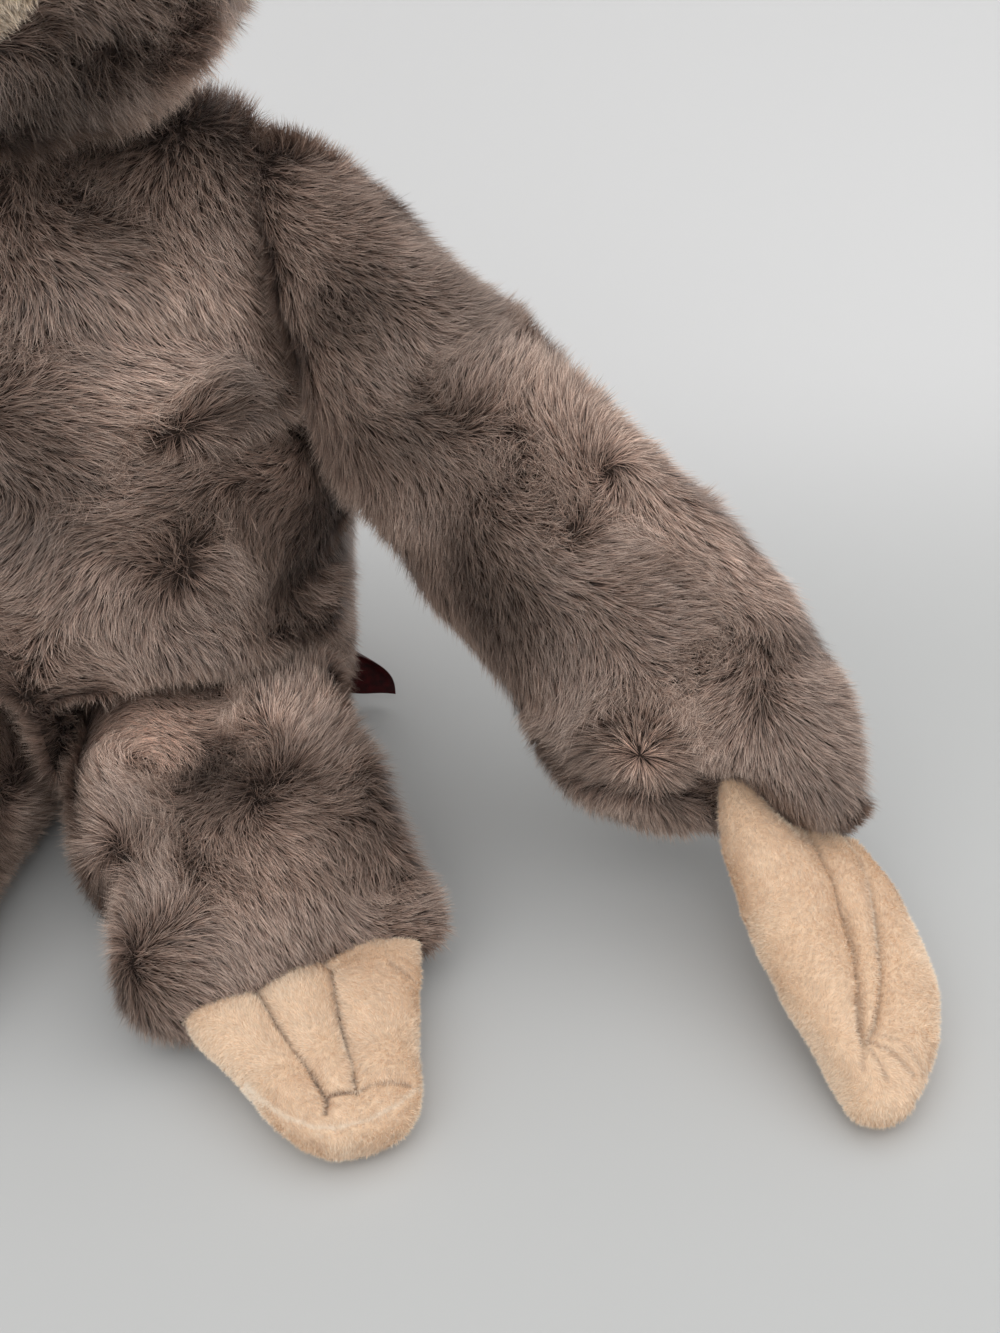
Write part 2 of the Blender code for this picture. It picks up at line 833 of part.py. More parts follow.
make_torso()
pivot("neck_joint", neck_place(), make_head())
arm, hand, wrist, wrist_line = make_arm()
leg, foot, ankle, ankle_line, hip = make_leg()
for word, side_arm, side_hand, side_leg, side_foot in (
    ("left", arm, hand, leg, foot),
    ("right", right_copies(arm), right_copies(hand), right_copies(leg), right_copies(foot)),
):
    turn = unit if word == "left" else flip
    pivot("shoulder_joint_" + word, shoulder_place() * turn, side_arm)
    pivot("wrist_joint_" + word, wrist * turn, side_hand)
    pivot("hip_joint_" + word, hip * turn, side_leg)
    pivot("ankle_joint_" + word, ankle * turn, side_foot)
for item in bpy.data.objects:
    if item.type == "MESH":
        item.data.shade_smooth()
        item.data.set_sharp_from_angle(angle=sharp_turn)
print("wrist", wrist, "axis", wrist_line)
print("ankle", ankle, "axis", ankle_line)
print("hip", hip, "shoulder", shoulder_place(), shoulder_axis(), "neck", neck_place())
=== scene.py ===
# %% [markdown]
# # A seated plush sloth, dressed
#
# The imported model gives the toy's bodies, joints and plain solids. This lesson gives it what you see and
# touch: padded covers with long pile that swirls in whorls, short-pile claws with sewn channels, a face, a
# loop label and stitches. Everything stays in the model's own frame: metres, +Z up, the toy looks along -Y,
# its left side is +X.

# %% Load the frame
import json
import math
from contextlib import contextmanager

import bmesh
import bpy
import numpy as np
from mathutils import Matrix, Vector, noise
from mathutils.bvhtree import BVHTree


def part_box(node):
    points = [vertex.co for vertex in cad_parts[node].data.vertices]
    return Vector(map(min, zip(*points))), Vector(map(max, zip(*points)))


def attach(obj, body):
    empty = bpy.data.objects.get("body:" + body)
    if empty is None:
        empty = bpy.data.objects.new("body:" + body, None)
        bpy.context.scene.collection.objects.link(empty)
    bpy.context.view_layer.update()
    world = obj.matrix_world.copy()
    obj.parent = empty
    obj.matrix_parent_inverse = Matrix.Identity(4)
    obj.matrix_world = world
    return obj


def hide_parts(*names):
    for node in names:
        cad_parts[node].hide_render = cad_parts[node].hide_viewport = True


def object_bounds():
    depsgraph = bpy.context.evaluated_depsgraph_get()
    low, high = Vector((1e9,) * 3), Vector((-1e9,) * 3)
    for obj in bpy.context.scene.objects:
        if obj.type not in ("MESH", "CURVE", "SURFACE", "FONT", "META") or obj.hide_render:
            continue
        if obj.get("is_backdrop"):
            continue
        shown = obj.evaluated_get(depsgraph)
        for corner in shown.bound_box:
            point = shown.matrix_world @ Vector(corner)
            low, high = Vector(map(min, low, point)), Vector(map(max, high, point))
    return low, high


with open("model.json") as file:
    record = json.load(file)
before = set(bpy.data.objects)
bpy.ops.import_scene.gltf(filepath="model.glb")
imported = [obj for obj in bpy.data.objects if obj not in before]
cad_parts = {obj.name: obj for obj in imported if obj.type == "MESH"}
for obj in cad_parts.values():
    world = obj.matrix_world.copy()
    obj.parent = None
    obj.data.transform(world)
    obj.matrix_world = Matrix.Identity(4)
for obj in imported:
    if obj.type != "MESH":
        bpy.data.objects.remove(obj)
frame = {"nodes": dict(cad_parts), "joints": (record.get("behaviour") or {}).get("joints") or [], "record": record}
cad_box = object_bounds()
joints = {joint["name"]: joint for joint in frame["joints"]}

# %% [markdown]
# Most pieces start as a net: rings of points that follow each other, with faces between them.


# %% Nets
def linked(name, data):
    """A new object in the scene."""
    made = bpy.data.objects.new(name, data)
    bpy.context.scene.collection.objects.link(made)
    return made


def new_object(name, points, faces):
    """A smooth object from points and faces."""
    data = bpy.data.meshes.new(name)
    data.from_pydata([tuple(point) for point in points], [], faces)
    data.polygons.foreach_set("use_smooth", [True] * len(data.polygons))
    data.update()
    return linked(name, data)


def strips(rings, sides, first=0, closed=True):
    """The faces between rings of points that follow each other."""
    faces = []
    for near in range(first, first + (rings - 1) * sides, sides):
        for j in range(sides if closed else sides - 1):
            k = (j + 1) % sides
            faces.append((near + j, near + k, near + sides + k, near + sides + j))
    return faces


def fan(last, tip, sides):
    """The faces from the last ring to one point."""
    return [(last + j, last + (j + 1) % sides, tip) for j in range(sides)]


def net(name, rings, sides, place_of, tip=True, flip=False):
    """A net that starts in one point, and ends in one if it has a tip, with places by share and angle."""
    points = []
    for i in range(rings + 1):
        count = 1 if i == 0 or (tip and i == rings) else sides
        points += [place_of(i / rings, math.tau * j / sides) for j in range(count)]
    faces = [(0, 1 + (j + 1) % sides, 1 + j) for j in range(sides)] + strips(rings - tip, sides, 1)
    if tip:
        faces += fan(len(points) - 1 - sides, len(points) - 1, sides)
    return new_object(name, points, [(face[0], *face[:0:-1]) for face in faces] if flip else faces)


@contextmanager
def edited(data):
    """A mesh that is open for editing."""
    mesh = bmesh.new()
    mesh.from_mesh(data)
    yield mesh
    mesh.to_mesh(data)
    mesh.free()


def tree_of(item):
    """A search tree over an object's faces."""
    return BVHTree.FromObject(item, bpy.context.evaluated_depsgraph_get())


def mm(*values):
    """A place from millimetres."""
    return Vector([value / 1000 for value in values])


# %% [markdown]
# The photograph looks down on the toy's left side from close by. A camera is a place, a direction and a lens.
# The lens is written for Blender's 36 mm sensor, which lies along the picture's long side.

# %% The camera
camera_down, camera_aside = math.radians(36), math.radians(-5)
lens_px, picture_height_px, sensor_mm = 1550, 1333, 36

camera = linked("camera", bpy.data.cameras.new("camera"))
camera.data.sensor_width = sensor_mm
camera.data.lens = sensor_mm * lens_px / picture_height_px
camera.data.clip_start = 0.01
camera.location = mm(109, -460, 360)
camera.rotation_euler = (math.pi / 2 - camera_down, 0, camera_aside)
bpy.context.scene.camera = camera
bpy.context.scene.view_settings.view_transform = "Standard"
print("lens", round(camera.data.lens, 2), "mm")

# %% [markdown]
# Trees of nodes, for materials and for geometry, are quicker to read as sums. An output that is wrapped as a
# Value adds, takes away, multiplies and divides, and each sum becomes a node of its own tree. A Value given
# to a node's input becomes a link, and any other thing is set on the input.

# %% Node helpers
middle_grey = (0.5, 0.5, 0.5)


class Value:
    """A node's output that can be used in sums, for numbers and for vectors."""

    def __init__(self, socket):
        self.socket, self.tree = socket, socket.id_data

    def __getitem__(self, name):
        return Value(self.socket.node.outputs[name])

    def sum(self, operation, *others):
        flat = self.socket.type == "VALUE"
        kind = "ShaderNodeMath" if flat else "ShaderNodeVectorMath"
        made = add(self.tree, kind, dict(enumerate((self, *others))), operation=operation)
        return made["Value" if flat or operation in ("DOT_PRODUCT", "LENGTH") else "Vector"]

    def __add__(self, other):
        return self.sum("ADD", other)

    def __sub__(self, other):
        return self.sum("SUBTRACT", other)

    def __mul__(self, other):
        if self.socket.type == "VALUE":
            return self.sum("MULTIPLY", other)
        return add(self.tree, "ShaderNodeVectorMath", {0: self, "Scale": other}, operation="SCALE")

    def __truediv__(self, other):
        return self.sum("DIVIDE", other)

    def swapped(self, operation, first):
        return add(self.tree, "ShaderNodeMath", {0: first, 1: self}, operation=operation)

    def __rsub__(self, first):
        return self.swapped("SUBTRACT", first)

    def __rtruediv__(self, first):
        return self.swapped("DIVIDE", first)

    def __rpow__(self, first):
        return self.swapped("POWER", first)


def add(tree, kind, links=(), **settings):
    """Adds a node. links pairs its inputs, by name or number, with Values or plain values."""
    node = tree.nodes.new(kind)
    for key, value in settings.items():
        setattr(node, key, value)
    for key, value in dict(links).items():
        if isinstance(value, Value):
            tree.links.new(value.socket, node.inputs[key])
        else:
            node.inputs[key].default_value = value
    return Value(node.outputs[0]) if node.outputs else None


def split(value):
    return add(value.tree, "ShaderNodeSeparateXYZ", {0: value})


def shader_of(made):
    return made.node_tree.nodes["Principled BSDF"]


def finish_of(name, roughness, specular=0.5, sheen=0.0):
    """A new material and its tree."""
    made = bpy.data.materials.new(name)
    made.use_nodes = True
    for key, value in (("Roughness", roughness), ("Specular IOR Level", specular), ("Sheen Weight", sheen)):
        shader_of(made).inputs[key].default_value = value
    return made, made.node_tree


def feed(made, name, value):
    """Links a Value to an input of a material's shader."""
    made.node_tree.links.new(value.socket, shader_of(made).inputs[name])


def ramp(value, *stops):
    """A colour ramp from (place, colour) stops."""
    made = add(value.tree, "ShaderNodeValToRGB", {0: value})
    keys = made.socket.node.color_ramp.elements
    keys[0].position, keys[0].color = stops[0][0], (*stops[0][1], 1)
    keys[1].position, keys[1].color = stops[-1][0], (*stops[-1][1], 1)
    for place, colour in stops[1:-1]:
        keys.new(place).color = (*colour, 1)
    return made


def mix(share, first, second, how="MIX"):
    """One colour over another."""
    links = {0: share, 6: first, 7: second}
    return add(first.tree, "ShaderNodeMix", links, data_type="RGBA", blend_type=how)[2]


def place_in(tree):
    return add(tree, "ShaderNodeTexCoord")["Object"]


def object_noise(tree, size, detail):
    """Noise over the object's own coordinates, with lumps of about that size."""
    links = {"Vector": place_in(tree), "Scale": 1 / size, "Detail": detail, "Roughness": 0.5}
    return add(tree, "ShaderNodeTexNoise", links)


def bump(made, height, depth):
    """Small relief, in metres."""
    feed(made, "Normal", add(made.node_tree, "ShaderNodeBump", {"Height": height, "Distance": depth}))


# %% [markdown]
# ## The stage
#
# A plain pale floor runs back and curves up into a lighter backdrop, so no edge crosses the picture. The
# sheet shows only from its own side, so the toy can be looked at from behind too. One wide lamp stands high
# on the toy's left, a weaker one fills the other side, and the world lifts the shadows.

# %% Floor and backdrop
floor_near, floor_far = -1.6, 0.16
backdrop_bend, backdrop_top = 0.30, 1.3
stage_half_width, stage_steps = 2.2, 14
floor_colour, wall_colour = (0.545, 0.550, 0.545), (0.70, 0.70, 0.70)

profile = [(floor_near, 0.0), (floor_far, 0.0)]
for i in range(1, stage_steps + 1):
    angle = math.pi / 2 * i / stage_steps
    profile.append((floor_far + backdrop_bend * math.sin(angle), backdrop_bend * (1 - math.cos(angle))))
profile.append((floor_far + backdrop_bend, backdrop_top))
points = [(x, y, z) for y, z in profile for x in (-stage_half_width, stage_half_width)]
floor = new_object("floor", points, strips(len(profile), 2, closed=False))

paper, tree = finish_of("floor paper", 0.95, 0.1)
links = {"Value": split(place_in(tree))["Y"], "From Min": 0.0, "From Max": 0.28}
share = add(tree, "ShaderNodeMapRange", links, interpolation_type="SMOOTHSTEP")
feed(paper, "Base Color", ramp(share, (0, floor_colour), (1, wall_colour)))
behind = add(tree, "ShaderNodeNewGeometry")["Backfacing"]
shown = Value(shader_of(paper).outputs[0])
links = {0: behind, 1: shown, 2: add(tree, "ShaderNodeBsdfTransparent")}
one_sided = add(tree, "ShaderNodeMixShader", links)
tree.links.new(one_sided.socket, tree.nodes["Material Output"].inputs["Surface"])
floor.data.materials.append(paper)
floor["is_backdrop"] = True

# %% Lamps
lamps = (("key", mm(450, 100, 1300), 1.6, 5.5), ("fill", mm(-350, -950, 1250), 1.4, 6.5))
lamp_aim = mm(50, -50, 100)
world_light = 0.83
for name, place, size, power in lamps:
    lamp = linked(name, bpy.data.lights.new(name, "AREA"))
    lamp.data.size = size
    lamp.data.energy = power
    lamp.location = place
    lamp.rotation_euler = (lamp_aim - place).to_track_quat("-Z", "Y").to_euler()
world = bpy.data.worlds.new("studio")
world.use_nodes = True
sky = world.node_tree.nodes["Background"].inputs
sky["Color"].default_value, sky["Strength"].default_value = (1, 1, 1, 1), world_light
bpy.context.scene.world = world

# %% [markdown]
# ## Padded covers
#
# Each limb is a stuffed bag. Its padded form is made by shrinking a fine, even net onto the plain solid: rays
# come in from all round a line inside the solid, and each stops at the first cloth that it meets. The net is
# then relaxed, which rounds the solid's facets as stuffing does, and gets soft lumps from noise.

# %% The padded net
cap_reach = 0.035
ray_reach = 1.0


def solid_tree(*nodes):
    """A search tree over the shells of CAD nodes."""
    points, faces = [], []
    for node in nodes:
        mesh = frame["nodes"][node].data
        start = len(points)
        points += [vertex.co.copy() for vertex in mesh.vertices]
        faces += [[start + i for i in polygon.vertices] for polygon in mesh.polygons]
    return BVHTree.FromPolygons(points, faces)


def net_round(name, node, start, end, rings, sides, steps):
    """A closed net shrunk onto a solid, from rays that come in towards the line from start to end."""
    solid = solid_tree(node)
    axis = (end - start).normalized()
    aside = axis.orthogonal().normalized()
    across = axis.cross(aside)
    turn = math.pi / 2
    length = (end - start).length
    span = length / (length + 2 * turn * cap_reach)
    low = (1 - span) / 2

    def place_of(share, way):
        if share < low:
            origin, angle = start, turn * share / low
        elif share > 1 - low:
            origin, angle = end, turn * (2 - (1 - share) / low)
        else:
            origin, angle = start.lerp(end, (share - low) / span), turn
        radial = aside * math.cos(way) + across * math.sin(way)
        out = -axis * math.cos(angle) + radial * math.sin(angle)
        hit = solid.ray_cast(origin + out * ray_reach, -out, ray_reach)[0]
        return hit if hit else origin + out * cap_reach

    made = net(name, rings, sides, place_of)
    relax(made, steps)
    return made


# %% Relaxing and lumps
def relax(item, steps):
    """Rounds a net, and gives back the fullness that rounding takes."""
    with edited(item.data) as mesh:
        before = mesh.calc_volume()
        axes = {"use_axis_" + axis: True for axis in "xyz"}
        for step in range(steps):
            bmesh.ops.smooth_vert(mesh, verts=mesh.verts, factor=0.5, **axes)
        bmesh.ops.recalc_face_normals(mesh, faces=mesh.faces)
        mesh.normal_update()
        lost = (before - mesh.calc_volume()) / sum(face.calc_area() for face in mesh.faces)
        for vertex in mesh.verts:
            vertex.co += vertex.normal * lost


def push(item, change):
    """Moves each point along its normal by what change(place) says."""
    normals = [vertex.normal.copy() for vertex in item.data.vertices]
    for vertex, normal in zip(item.data.vertices, normals):
        vertex.co += normal * change(vertex.co)
    item.data.update()


def swell(centre, reach, amount):
    """A soft bulge round a place, or a dent where the amount is negative."""

    def change(place):
        near = (place - centre).length / reach
        return amount * (1 - near * near) ** 2 if near < 1 else 0

    return change


def fold(points, reach, depth):
    """A sewn-in or pressed-in fold along a line of places."""

    def change(place):
        near = 1.0
        for start, end in zip(points, points[1:]):
            along = end - start
            share = min(1, max(0, (place - start).dot(along) / along.length_squared))
            near = min(near, (start + along * share - place).length / reach)
        return -depth * (1 - near) ** 2 * (1 + 2 * near)

    return change


def lumps(sizes, seed):
    """Soft unevenness from loose filling: waves of several sizes with their depths."""
    shift = Vector((seed, 2 * seed, 3 * seed))
    return lambda place: sum(noise.noise(place / size + shift) * depth for size, depth in sizes)


def flipped(place):
    return Vector((-place.x, place.y, place.z))


def left_side(body, place):
    """A place on a right limb, moved over to the left one. Tables are written for the left side."""
    return flipped(place) if body.endswith("right") else place


# %% [markdown]
# The lines inside the solids come from the model: a limb's line runs between its own joints, and the torso's
# and head's from their boxes. Then come the uneven places that the photograph shows: a shoulder that runs up
# to the neck, a full end of the arm beside the claws, and folds across the chest. The tables are written in
# millimetres. The right leg lies flatter than the left one and has no bulges.

# %% The padded covers
rest_height = 0.0005
pile_room = 0.0012
filling_lumps = ((0.042, 0.0046), (0.019, 0.0019))
face_margin, face_ease = 1.05, 3


def joint_place(name):
    return Vector(joints[name]["pos_m"])


torso_low, torso_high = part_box("torso_cover")
torso_rise = torso_high.z - torso_low.z
seat_line = Vector((0, 0.012, torso_low.z + 0.35 * torso_rise))
chest_line = Vector((0, 0, torso_low.z + 0.68 * torso_rise))
head_low, head_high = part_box("head_cover")
head_radii = mm(77, 63, 66)
head_middle = Vector((0, (head_low.y + head_high.y) / 2, head_high.z - head_radii.z))
head_line = mm(6, 0, 0)
lines = {
    "torso": (seat_line, chest_line, 84, 120, 5),
    "head": (head_middle - head_line, head_middle + head_line, 64, 96, 3),
}
for word in ("left", "right"):
    shoulder, wrist = joint_place("shoulder_" + word), joint_place("wrist_" + word)
    along = (wrist - shoulder).normalized()
    lines["arm_" + word] = shoulder + along * 0.030, wrist - along * 0.040, 84, 72, 4
    hip, ankle = joint_place("hip_" + word), joint_place("ankle_" + word)
    lines["leg_" + word] = hip + (ankle - hip) * 0.1, hip + (ankle - hip) * 0.62, 64, 80, 2
skins = {}
for body, line in lines.items():
    name = body.replace("_", "_plush_") if "_" in body else body + "_plush"
    skins[body] = net_round(name, body + "_cover", *line)

claw_corner = mm(209.5, -118, 60)
bulges = {
    "head": ((74, -20, 262, 62, 11),),
    "torso": ((70, -8, 223, 44, 11),),
    "arm_left": (
        (91, -8, 216, 36, 5), (219, -78, 94, 68, 9.5), (135, -20, 195, 30, -3),
        (178, -86, 24, 46, 12), (209.5, -118, 60, 26, -12),
    ),
    "leg_left": ((26, -90, 34, 50, 7.5), (47, -135, 22, 36, 10), (79, -141, 36, 28, 4)),
}
folds = {
    "torso": (
        ((-20, -70, 186), (30, -66, 190), (70, -50, 180), 11, 6),
        ((35, -73, 150), (75, -52, 146), (95, -20, 140), 12, 5),
        ((50, -68, 100), (85, -50, 92), (99, -20, 94), 12, 5),
    ),
    "arm_left": (
        ((115, -60, 168), (135, -55, 178), (150, -40, 180), 14, 4.5),
        ((135, -75, 105), (160, -85, 120), (185, -80, 125), 13, 4.5),
    ),
}
face_middle = head_middle + mm(0, 0, 7.5)
face_reach = Vector((0.044, 1.0, 0.0365))


def from_face(place):
    """How far a place on the head is from the face's middle, as a share of the face's own size."""
    if place.y > head_middle.y:
        return 9.0
    return math.hypot((place.x - face_middle.x) / face_reach.x, (place.z - face_middle.z) / face_reach.z)


def changes_of(body):
    """The bulges and folds of a body."""
    table = "" if body == "leg_right" else body.replace("right", "left")
    made = [swell(mm(x, y, z), reach / 1000, most / 1000) for x, y, z, reach, most in bulges.get(table, ())]
    for *line, reach, depth in folds.get(table, ()):
        made.append(fold([mm(*place) for place in line], reach / 1000, depth / 1000))
    return made


def above_table(item):
    for vertex in item.data.vertices:
        vertex.co.z = max(vertex.co.z, rest_height)


for seed, (body, skin) in enumerate(skins.items()):
    uneven, changes = lumps(filling_lumps, seed), changes_of(body)
    if body == "head":
        push(skin, lambda place: uneven(place) * min(1, max(0, (from_face(place) - face_margin) * face_ease)))
    else:
        push(skin, uneven)
    for change in changes:
        push(skin, lambda place: change(left_side(body, place)))
    if body in ("torso", "head"):
        push(skin, lambda place: changes[0](flipped(place)))
    push(skin, lambda place: -pile_room)
    above_table(skin)
    corners = [Vector(corner) for corner in (skin.bound_box[0], skin.bound_box[6])]
    print(skin.name, [round(value * 1000) for corner in corners for value in corner])

# %% [markdown]
# ## What is inside
#
# Fibre fills each cover, and a cloth bag of pellets weighs the seat down. Nothing of them shows unless a
# cover is taken off, but they are there. Each is a net of its own, kept just inside the cover.

# %% Fibre and the pellet bag
stuffing_room = 0.0022


def keep_inside(item, cover, room):
    """Moves the points of a net that come too near to a cover in from it."""
    bpy.context.view_layer.update()
    inside = tree_of(cover)
    for vertex in item.data.vertices:
        near, normal, index, far = inside.find_nearest(vertex.co)
        if (vertex.co - near).dot(normal) > -room:
            vertex.co = near - normal * room
    item.data.update()


inner_pieces = []
bpy.context.view_layer.update()
for body, skin in skins.items():
    line = lines[body][:2]
    if "_" in body:
        limb, word = body.split("_")
        ends = ("shoulder_", "wrist_") if limb == "arm" else ("hip_", "ankle_")
        first, last = (joint_place(end + word) for end in ends)
        line = first.lerp(last, 0.25), first.lerp(last, 0.7)
    filling = net_round(body + "_fibre", body + "_filling", *line, 36, 48, 1)
    keep_inside(filling, skin, stuffing_room)
    inner_pieces.append((filling, body, body + "_filling", "fibre"))
bag_low, bag_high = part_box("pellet_bag")
bag_middle, bag_line = (bag_low + bag_high) / 2, mm(30, 0, 0)
bag = net_round("pellet_bag_cloth", "pellet_bag", bag_middle - bag_line, bag_middle + bag_line, 28, 40, 2)
push(bag, lumps(((0.012, 0.0012),), 5))
inner_pieces.append((bag, "torso", "pellet_bag", "linen"))

# %% [markdown]
# ## Pile
#
# Long pile is thousands of strands that lean one way, swirl in whorls and stick together in small locks.
# Geometry Nodes scatter points over a cover and put one pointed strand on each. Noise gives the way they lean
# and how far, and a Voronoi pattern gives each lock a middle that its strands bend towards. The cover's own
# points carry how flat the pile lies there, which also sets the painted highlight and shade of its strands, and
# how short it is cut. Strands that would go through the table lie down on it.

# %% The pile tree
pile_numbers = ("Density", "Length", "Width", "Lean", "Lift", "Whorl", "Twist", "Lock", "Pull", "Untidy")
pile_inputs = (
    *((name, "Float") for name in pile_numbers),
    ("Combed", "Vector"), ("Star", "Vector"), ("Star reach", "Float"),
    ("Seed", "Int"), ("Finish", "Material"),
)
flow_least = 0.11
star_pull = 1.5
lay_share, trim_share = 0.12, 0.52
least_lean, most_lean = 0.3, 0.9


def attribute(geometry, name, value, domain="INSTANCE"):
    links = {"Geometry": geometry, "Name": name, "Value": value}
    return add(geometry.tree, "GeometryNodeStoreNamedAttribute", links, data_type="FLOAT", domain=domain)


def random_value(tree, low, high, seed, kind="FLOAT"):
    first, result = (2, 1) if kind == "FLOAT" else (0, 0)
    links = {"Seed": seed, first: low, first + 1: high}
    return add(tree, "FunctionNodeRandomValue", links, data_type=kind)[result]


def known_value(tree, name):
    """A value that the cover's own points carry, or zero where they carry none."""
    return add(tree, "GeometryNodeInputNamedAttribute", {"Name": name}, data_type="FLOAT")


def strand_profile(tree):
    """One pointed blade, a unit long, that knows how far along it each point is."""
    links = {"Size X": 1.0, "Size Y": 1.0, "Vertices X": 2, "Vertices Y": 2}
    grid = add(tree, "GeometryNodeMeshGrid", links)
    flat = split(add(tree, "GeometryNodeInputPosition"))
    along = flat["Y"] + 0.5
    known = attribute(grid, "along", along, "POINT")
    place = add(tree, "ShaderNodeCombineXYZ", {"X": flat["X"] * (1.0 - along), "Z": along})
    drawn = add(tree, "GeometryNodeSetPosition", {"Geometry": known, "Position": place})
    return add(tree, "GeometryNodeMergeByDistance", {"Geometry": drawn, "Distance": 0.0001})


def pile_flow(given, place, normal):
    """The way the pile leans over the cloth: noise, a comb direction, and one star."""
    links = {"Vector": place, "Scale": 1.0 / given["Whorl"], "Detail": 2.0, "Roughness": 0.4}
    links = {"Vector": add(given.tree, "ShaderNodeTexNoise", links)["Color"] - middle_grey}
    links.update({"Axis": normal, "Angle": given["Twist"]})
    swirl = add(given.tree, "ShaderNodeVectorRotate", links, rotation_type="AXIS_ANGLE")
    apart = place - given["Star"]
    pull = (1.0 - apart.sum("LENGTH") / given["Star reach"]).sum("MAXIMUM", 0.0)
    swirl = swirl + given["Combed"] + apart.sum("NORMALIZE") * (pull * star_pull)
    flat = swirl - normal * swirl.sum("DOT_PRODUCT", normal)
    return flat * (1.0 / flat.sum("LENGTH").sum("MAXIMUM", flow_least))


def pile_tree():
    """Strands over a cover."""
    tree = bpy.data.node_groups.new("pile", "GeometryNodeTree")
    tree.is_modifier = True
    tree.interface.new_socket("Geometry", in_out="INPUT", socket_type="NodeSocketGeometry")
    for name, kind in pile_inputs:
        tree.interface.new_socket(name, in_out="INPUT", socket_type="NodeSocket" + kind)
    tree.interface.new_socket("Geometry", in_out="OUTPUT", socket_type="NodeSocketGeometry")
    given = add(tree, "NodeGroupInput")
    links = {"Mesh": given["Geometry"], "Density": given["Density"], "Seed": given["Seed"]}
    roots = add(tree, "GeometryNodeDistributePointsOnFaces", links)
    place, normal = add(tree, "GeometryNodeInputPosition"), roots["Normal"]

    links = {"Vector": place, "Scale": 0.8 / given["Whorl"], "Detail": 1.0, "W": 3.0}
    patches = add(tree, "ShaderNodeTexNoise", links, noise_dimensions="4D")
    lifted = (patches - 0.5) * given["Lift"]
    lay = known_value(tree, "lay")
    lean = given["Lean"] + lifted + lay * lay_share
    lean = add(tree, "ShaderNodeClamp", {"Value": lean, "Min": least_lean, "Max": most_lean})
    way = pile_flow(given, place, normal) * lean + normal * (1.0 - lean)
    links = {"Vector": place, "Scale": 1.0 / given["Lock"], "Randomness": 1.0}
    lock = add(tree, "ShaderNodeTexVoronoi", links)
    pull = given["Pull"] * 0.5
    gather = (lock["Position"] - place) * (pull / given["Lock"]) + (lock["Color"] - middle_grey) * pull
    stray = random_value(tree, (-1, -1, -1), (1, 1, 1), given["Seed"], "FLOAT_VECTOR") * given["Untidy"]
    way = (way + (gather + stray)).sum("NORMALIZE")
    links = {"Primary Axis": way, "Secondary Axis": way.sum("CROSS_PRODUCT", normal)}
    turn = add(tree, "FunctionNodeAxesToRotation", links, primary_axis="Z", secondary_axis="X")

    tall = given["Length"] * random_value(tree, 0.7, 1.2, given["Seed"])
    tall = tall * (1.0 - known_value(tree, "trim") * trim_share)
    size = add(tree, "ShaderNodeCombineXYZ", {"X": given["Width"], "Y": tall, "Z": tall})
    links = {"Points": roots, "Instance": strand_profile(tree), "Rotation": turn, "Scale": size}
    strands = add(tree, "GeometryNodeInstanceOnPoints", links)
    strands = attribute(strands, "tint", random_value(tree, 0.0, 1.0, 7))
    strands = attribute(strands, "tone", split(lock["Color"]))
    # Painted shade and highlight: the lay patches and the lift noise darken the strands' colour where they stand
    # the pile up, and lighten it where they lay it flat.
    strands = attribute(strands, "shade", lay + lifted)
    real = add(tree, "GeometryNodeRealizeInstances", {"Geometry": strands})
    drawn = split(add(tree, "GeometryNodeInputPosition"))
    links = {"X": drawn["X"], "Y": drawn["Y"], "Z": drawn["Z"].sum("MAXIMUM", rest_height)}
    laid = add(tree, "ShaderNodeCombineXYZ", links)
    real = add(tree, "GeometryNodeSetPosition", {"Geometry": real, "Position": laid})
    dressed = add(tree, "GeometryNodeSetMaterial", {"Geometry": real, "Material": given["Finish"]})
    add(tree, "NodeGroupOutput", {0: dressed})
    return tree


pile = pile_tree()
print("pile tree", len(pile.nodes), "nodes")


# %% Growing pile on a cover
cover_limit, mitt_limit, face_limit = 180000, 95000, 60000
strand_total = 0


def grow(skin, name, keep, values, limit):
    """Pile on the part of a cover whose faces pass a test, with no more strands than the limit."""
    global strand_total
    host = linked("patch", skin.data.copy())
    with edited(host.data) as mesh:
        mesh.normal_update()
        lost = [face for face in mesh.faces if not keep(face.calc_center_median(), face.normal)]
        bmesh.ops.delete(mesh, geom=lost, context="FACES")
    area = sum(polygon.area for polygon in host.data.polygons)
    values = dict(values)
    values["Density"] = min(values["Density"], limit / area)
    step = host.modifiers.new("tree", "NODES")
    step.node_group = pile
    for socket in pile.interface.items_tree:
        if socket.in_out == "INPUT" and socket.name in values:
            step[socket.identifier] = values[socket.name]
    bpy.context.view_layer.update()
    data = bpy.data.meshes.new_from_object(host.evaluated_get(bpy.context.evaluated_depsgraph_get()))
    data.name = name
    bpy.data.objects.remove(host, do_unlink=True)
    strand_total += len(data.polygons)
    print(name, round(area * 1e4), "cm2", len(data.polygons), "strands")
    return linked(name, data)


def dress(piece, body, finish=None, node=None):
    """Gives a piece its finish and body. Given a node, it hides that solid, whose place the piece takes."""
    if finish:
        piece.data.materials.append(finish)
    if node:
        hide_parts(node)
    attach(piece, body)


# %% [markdown]
# ## Finishes
#
# A strand is dark at its root and pale at its tip; the dark root is painted shade, where no light gets in. Each
# strand and each lock is a little lighter or darker than its neighbours. Pile that stands up gets painted
# shade, which is what makes it look deep, and pile that lies flat gets a painted highlight.

# %% Pile finishes
lock_contrast = 0.45


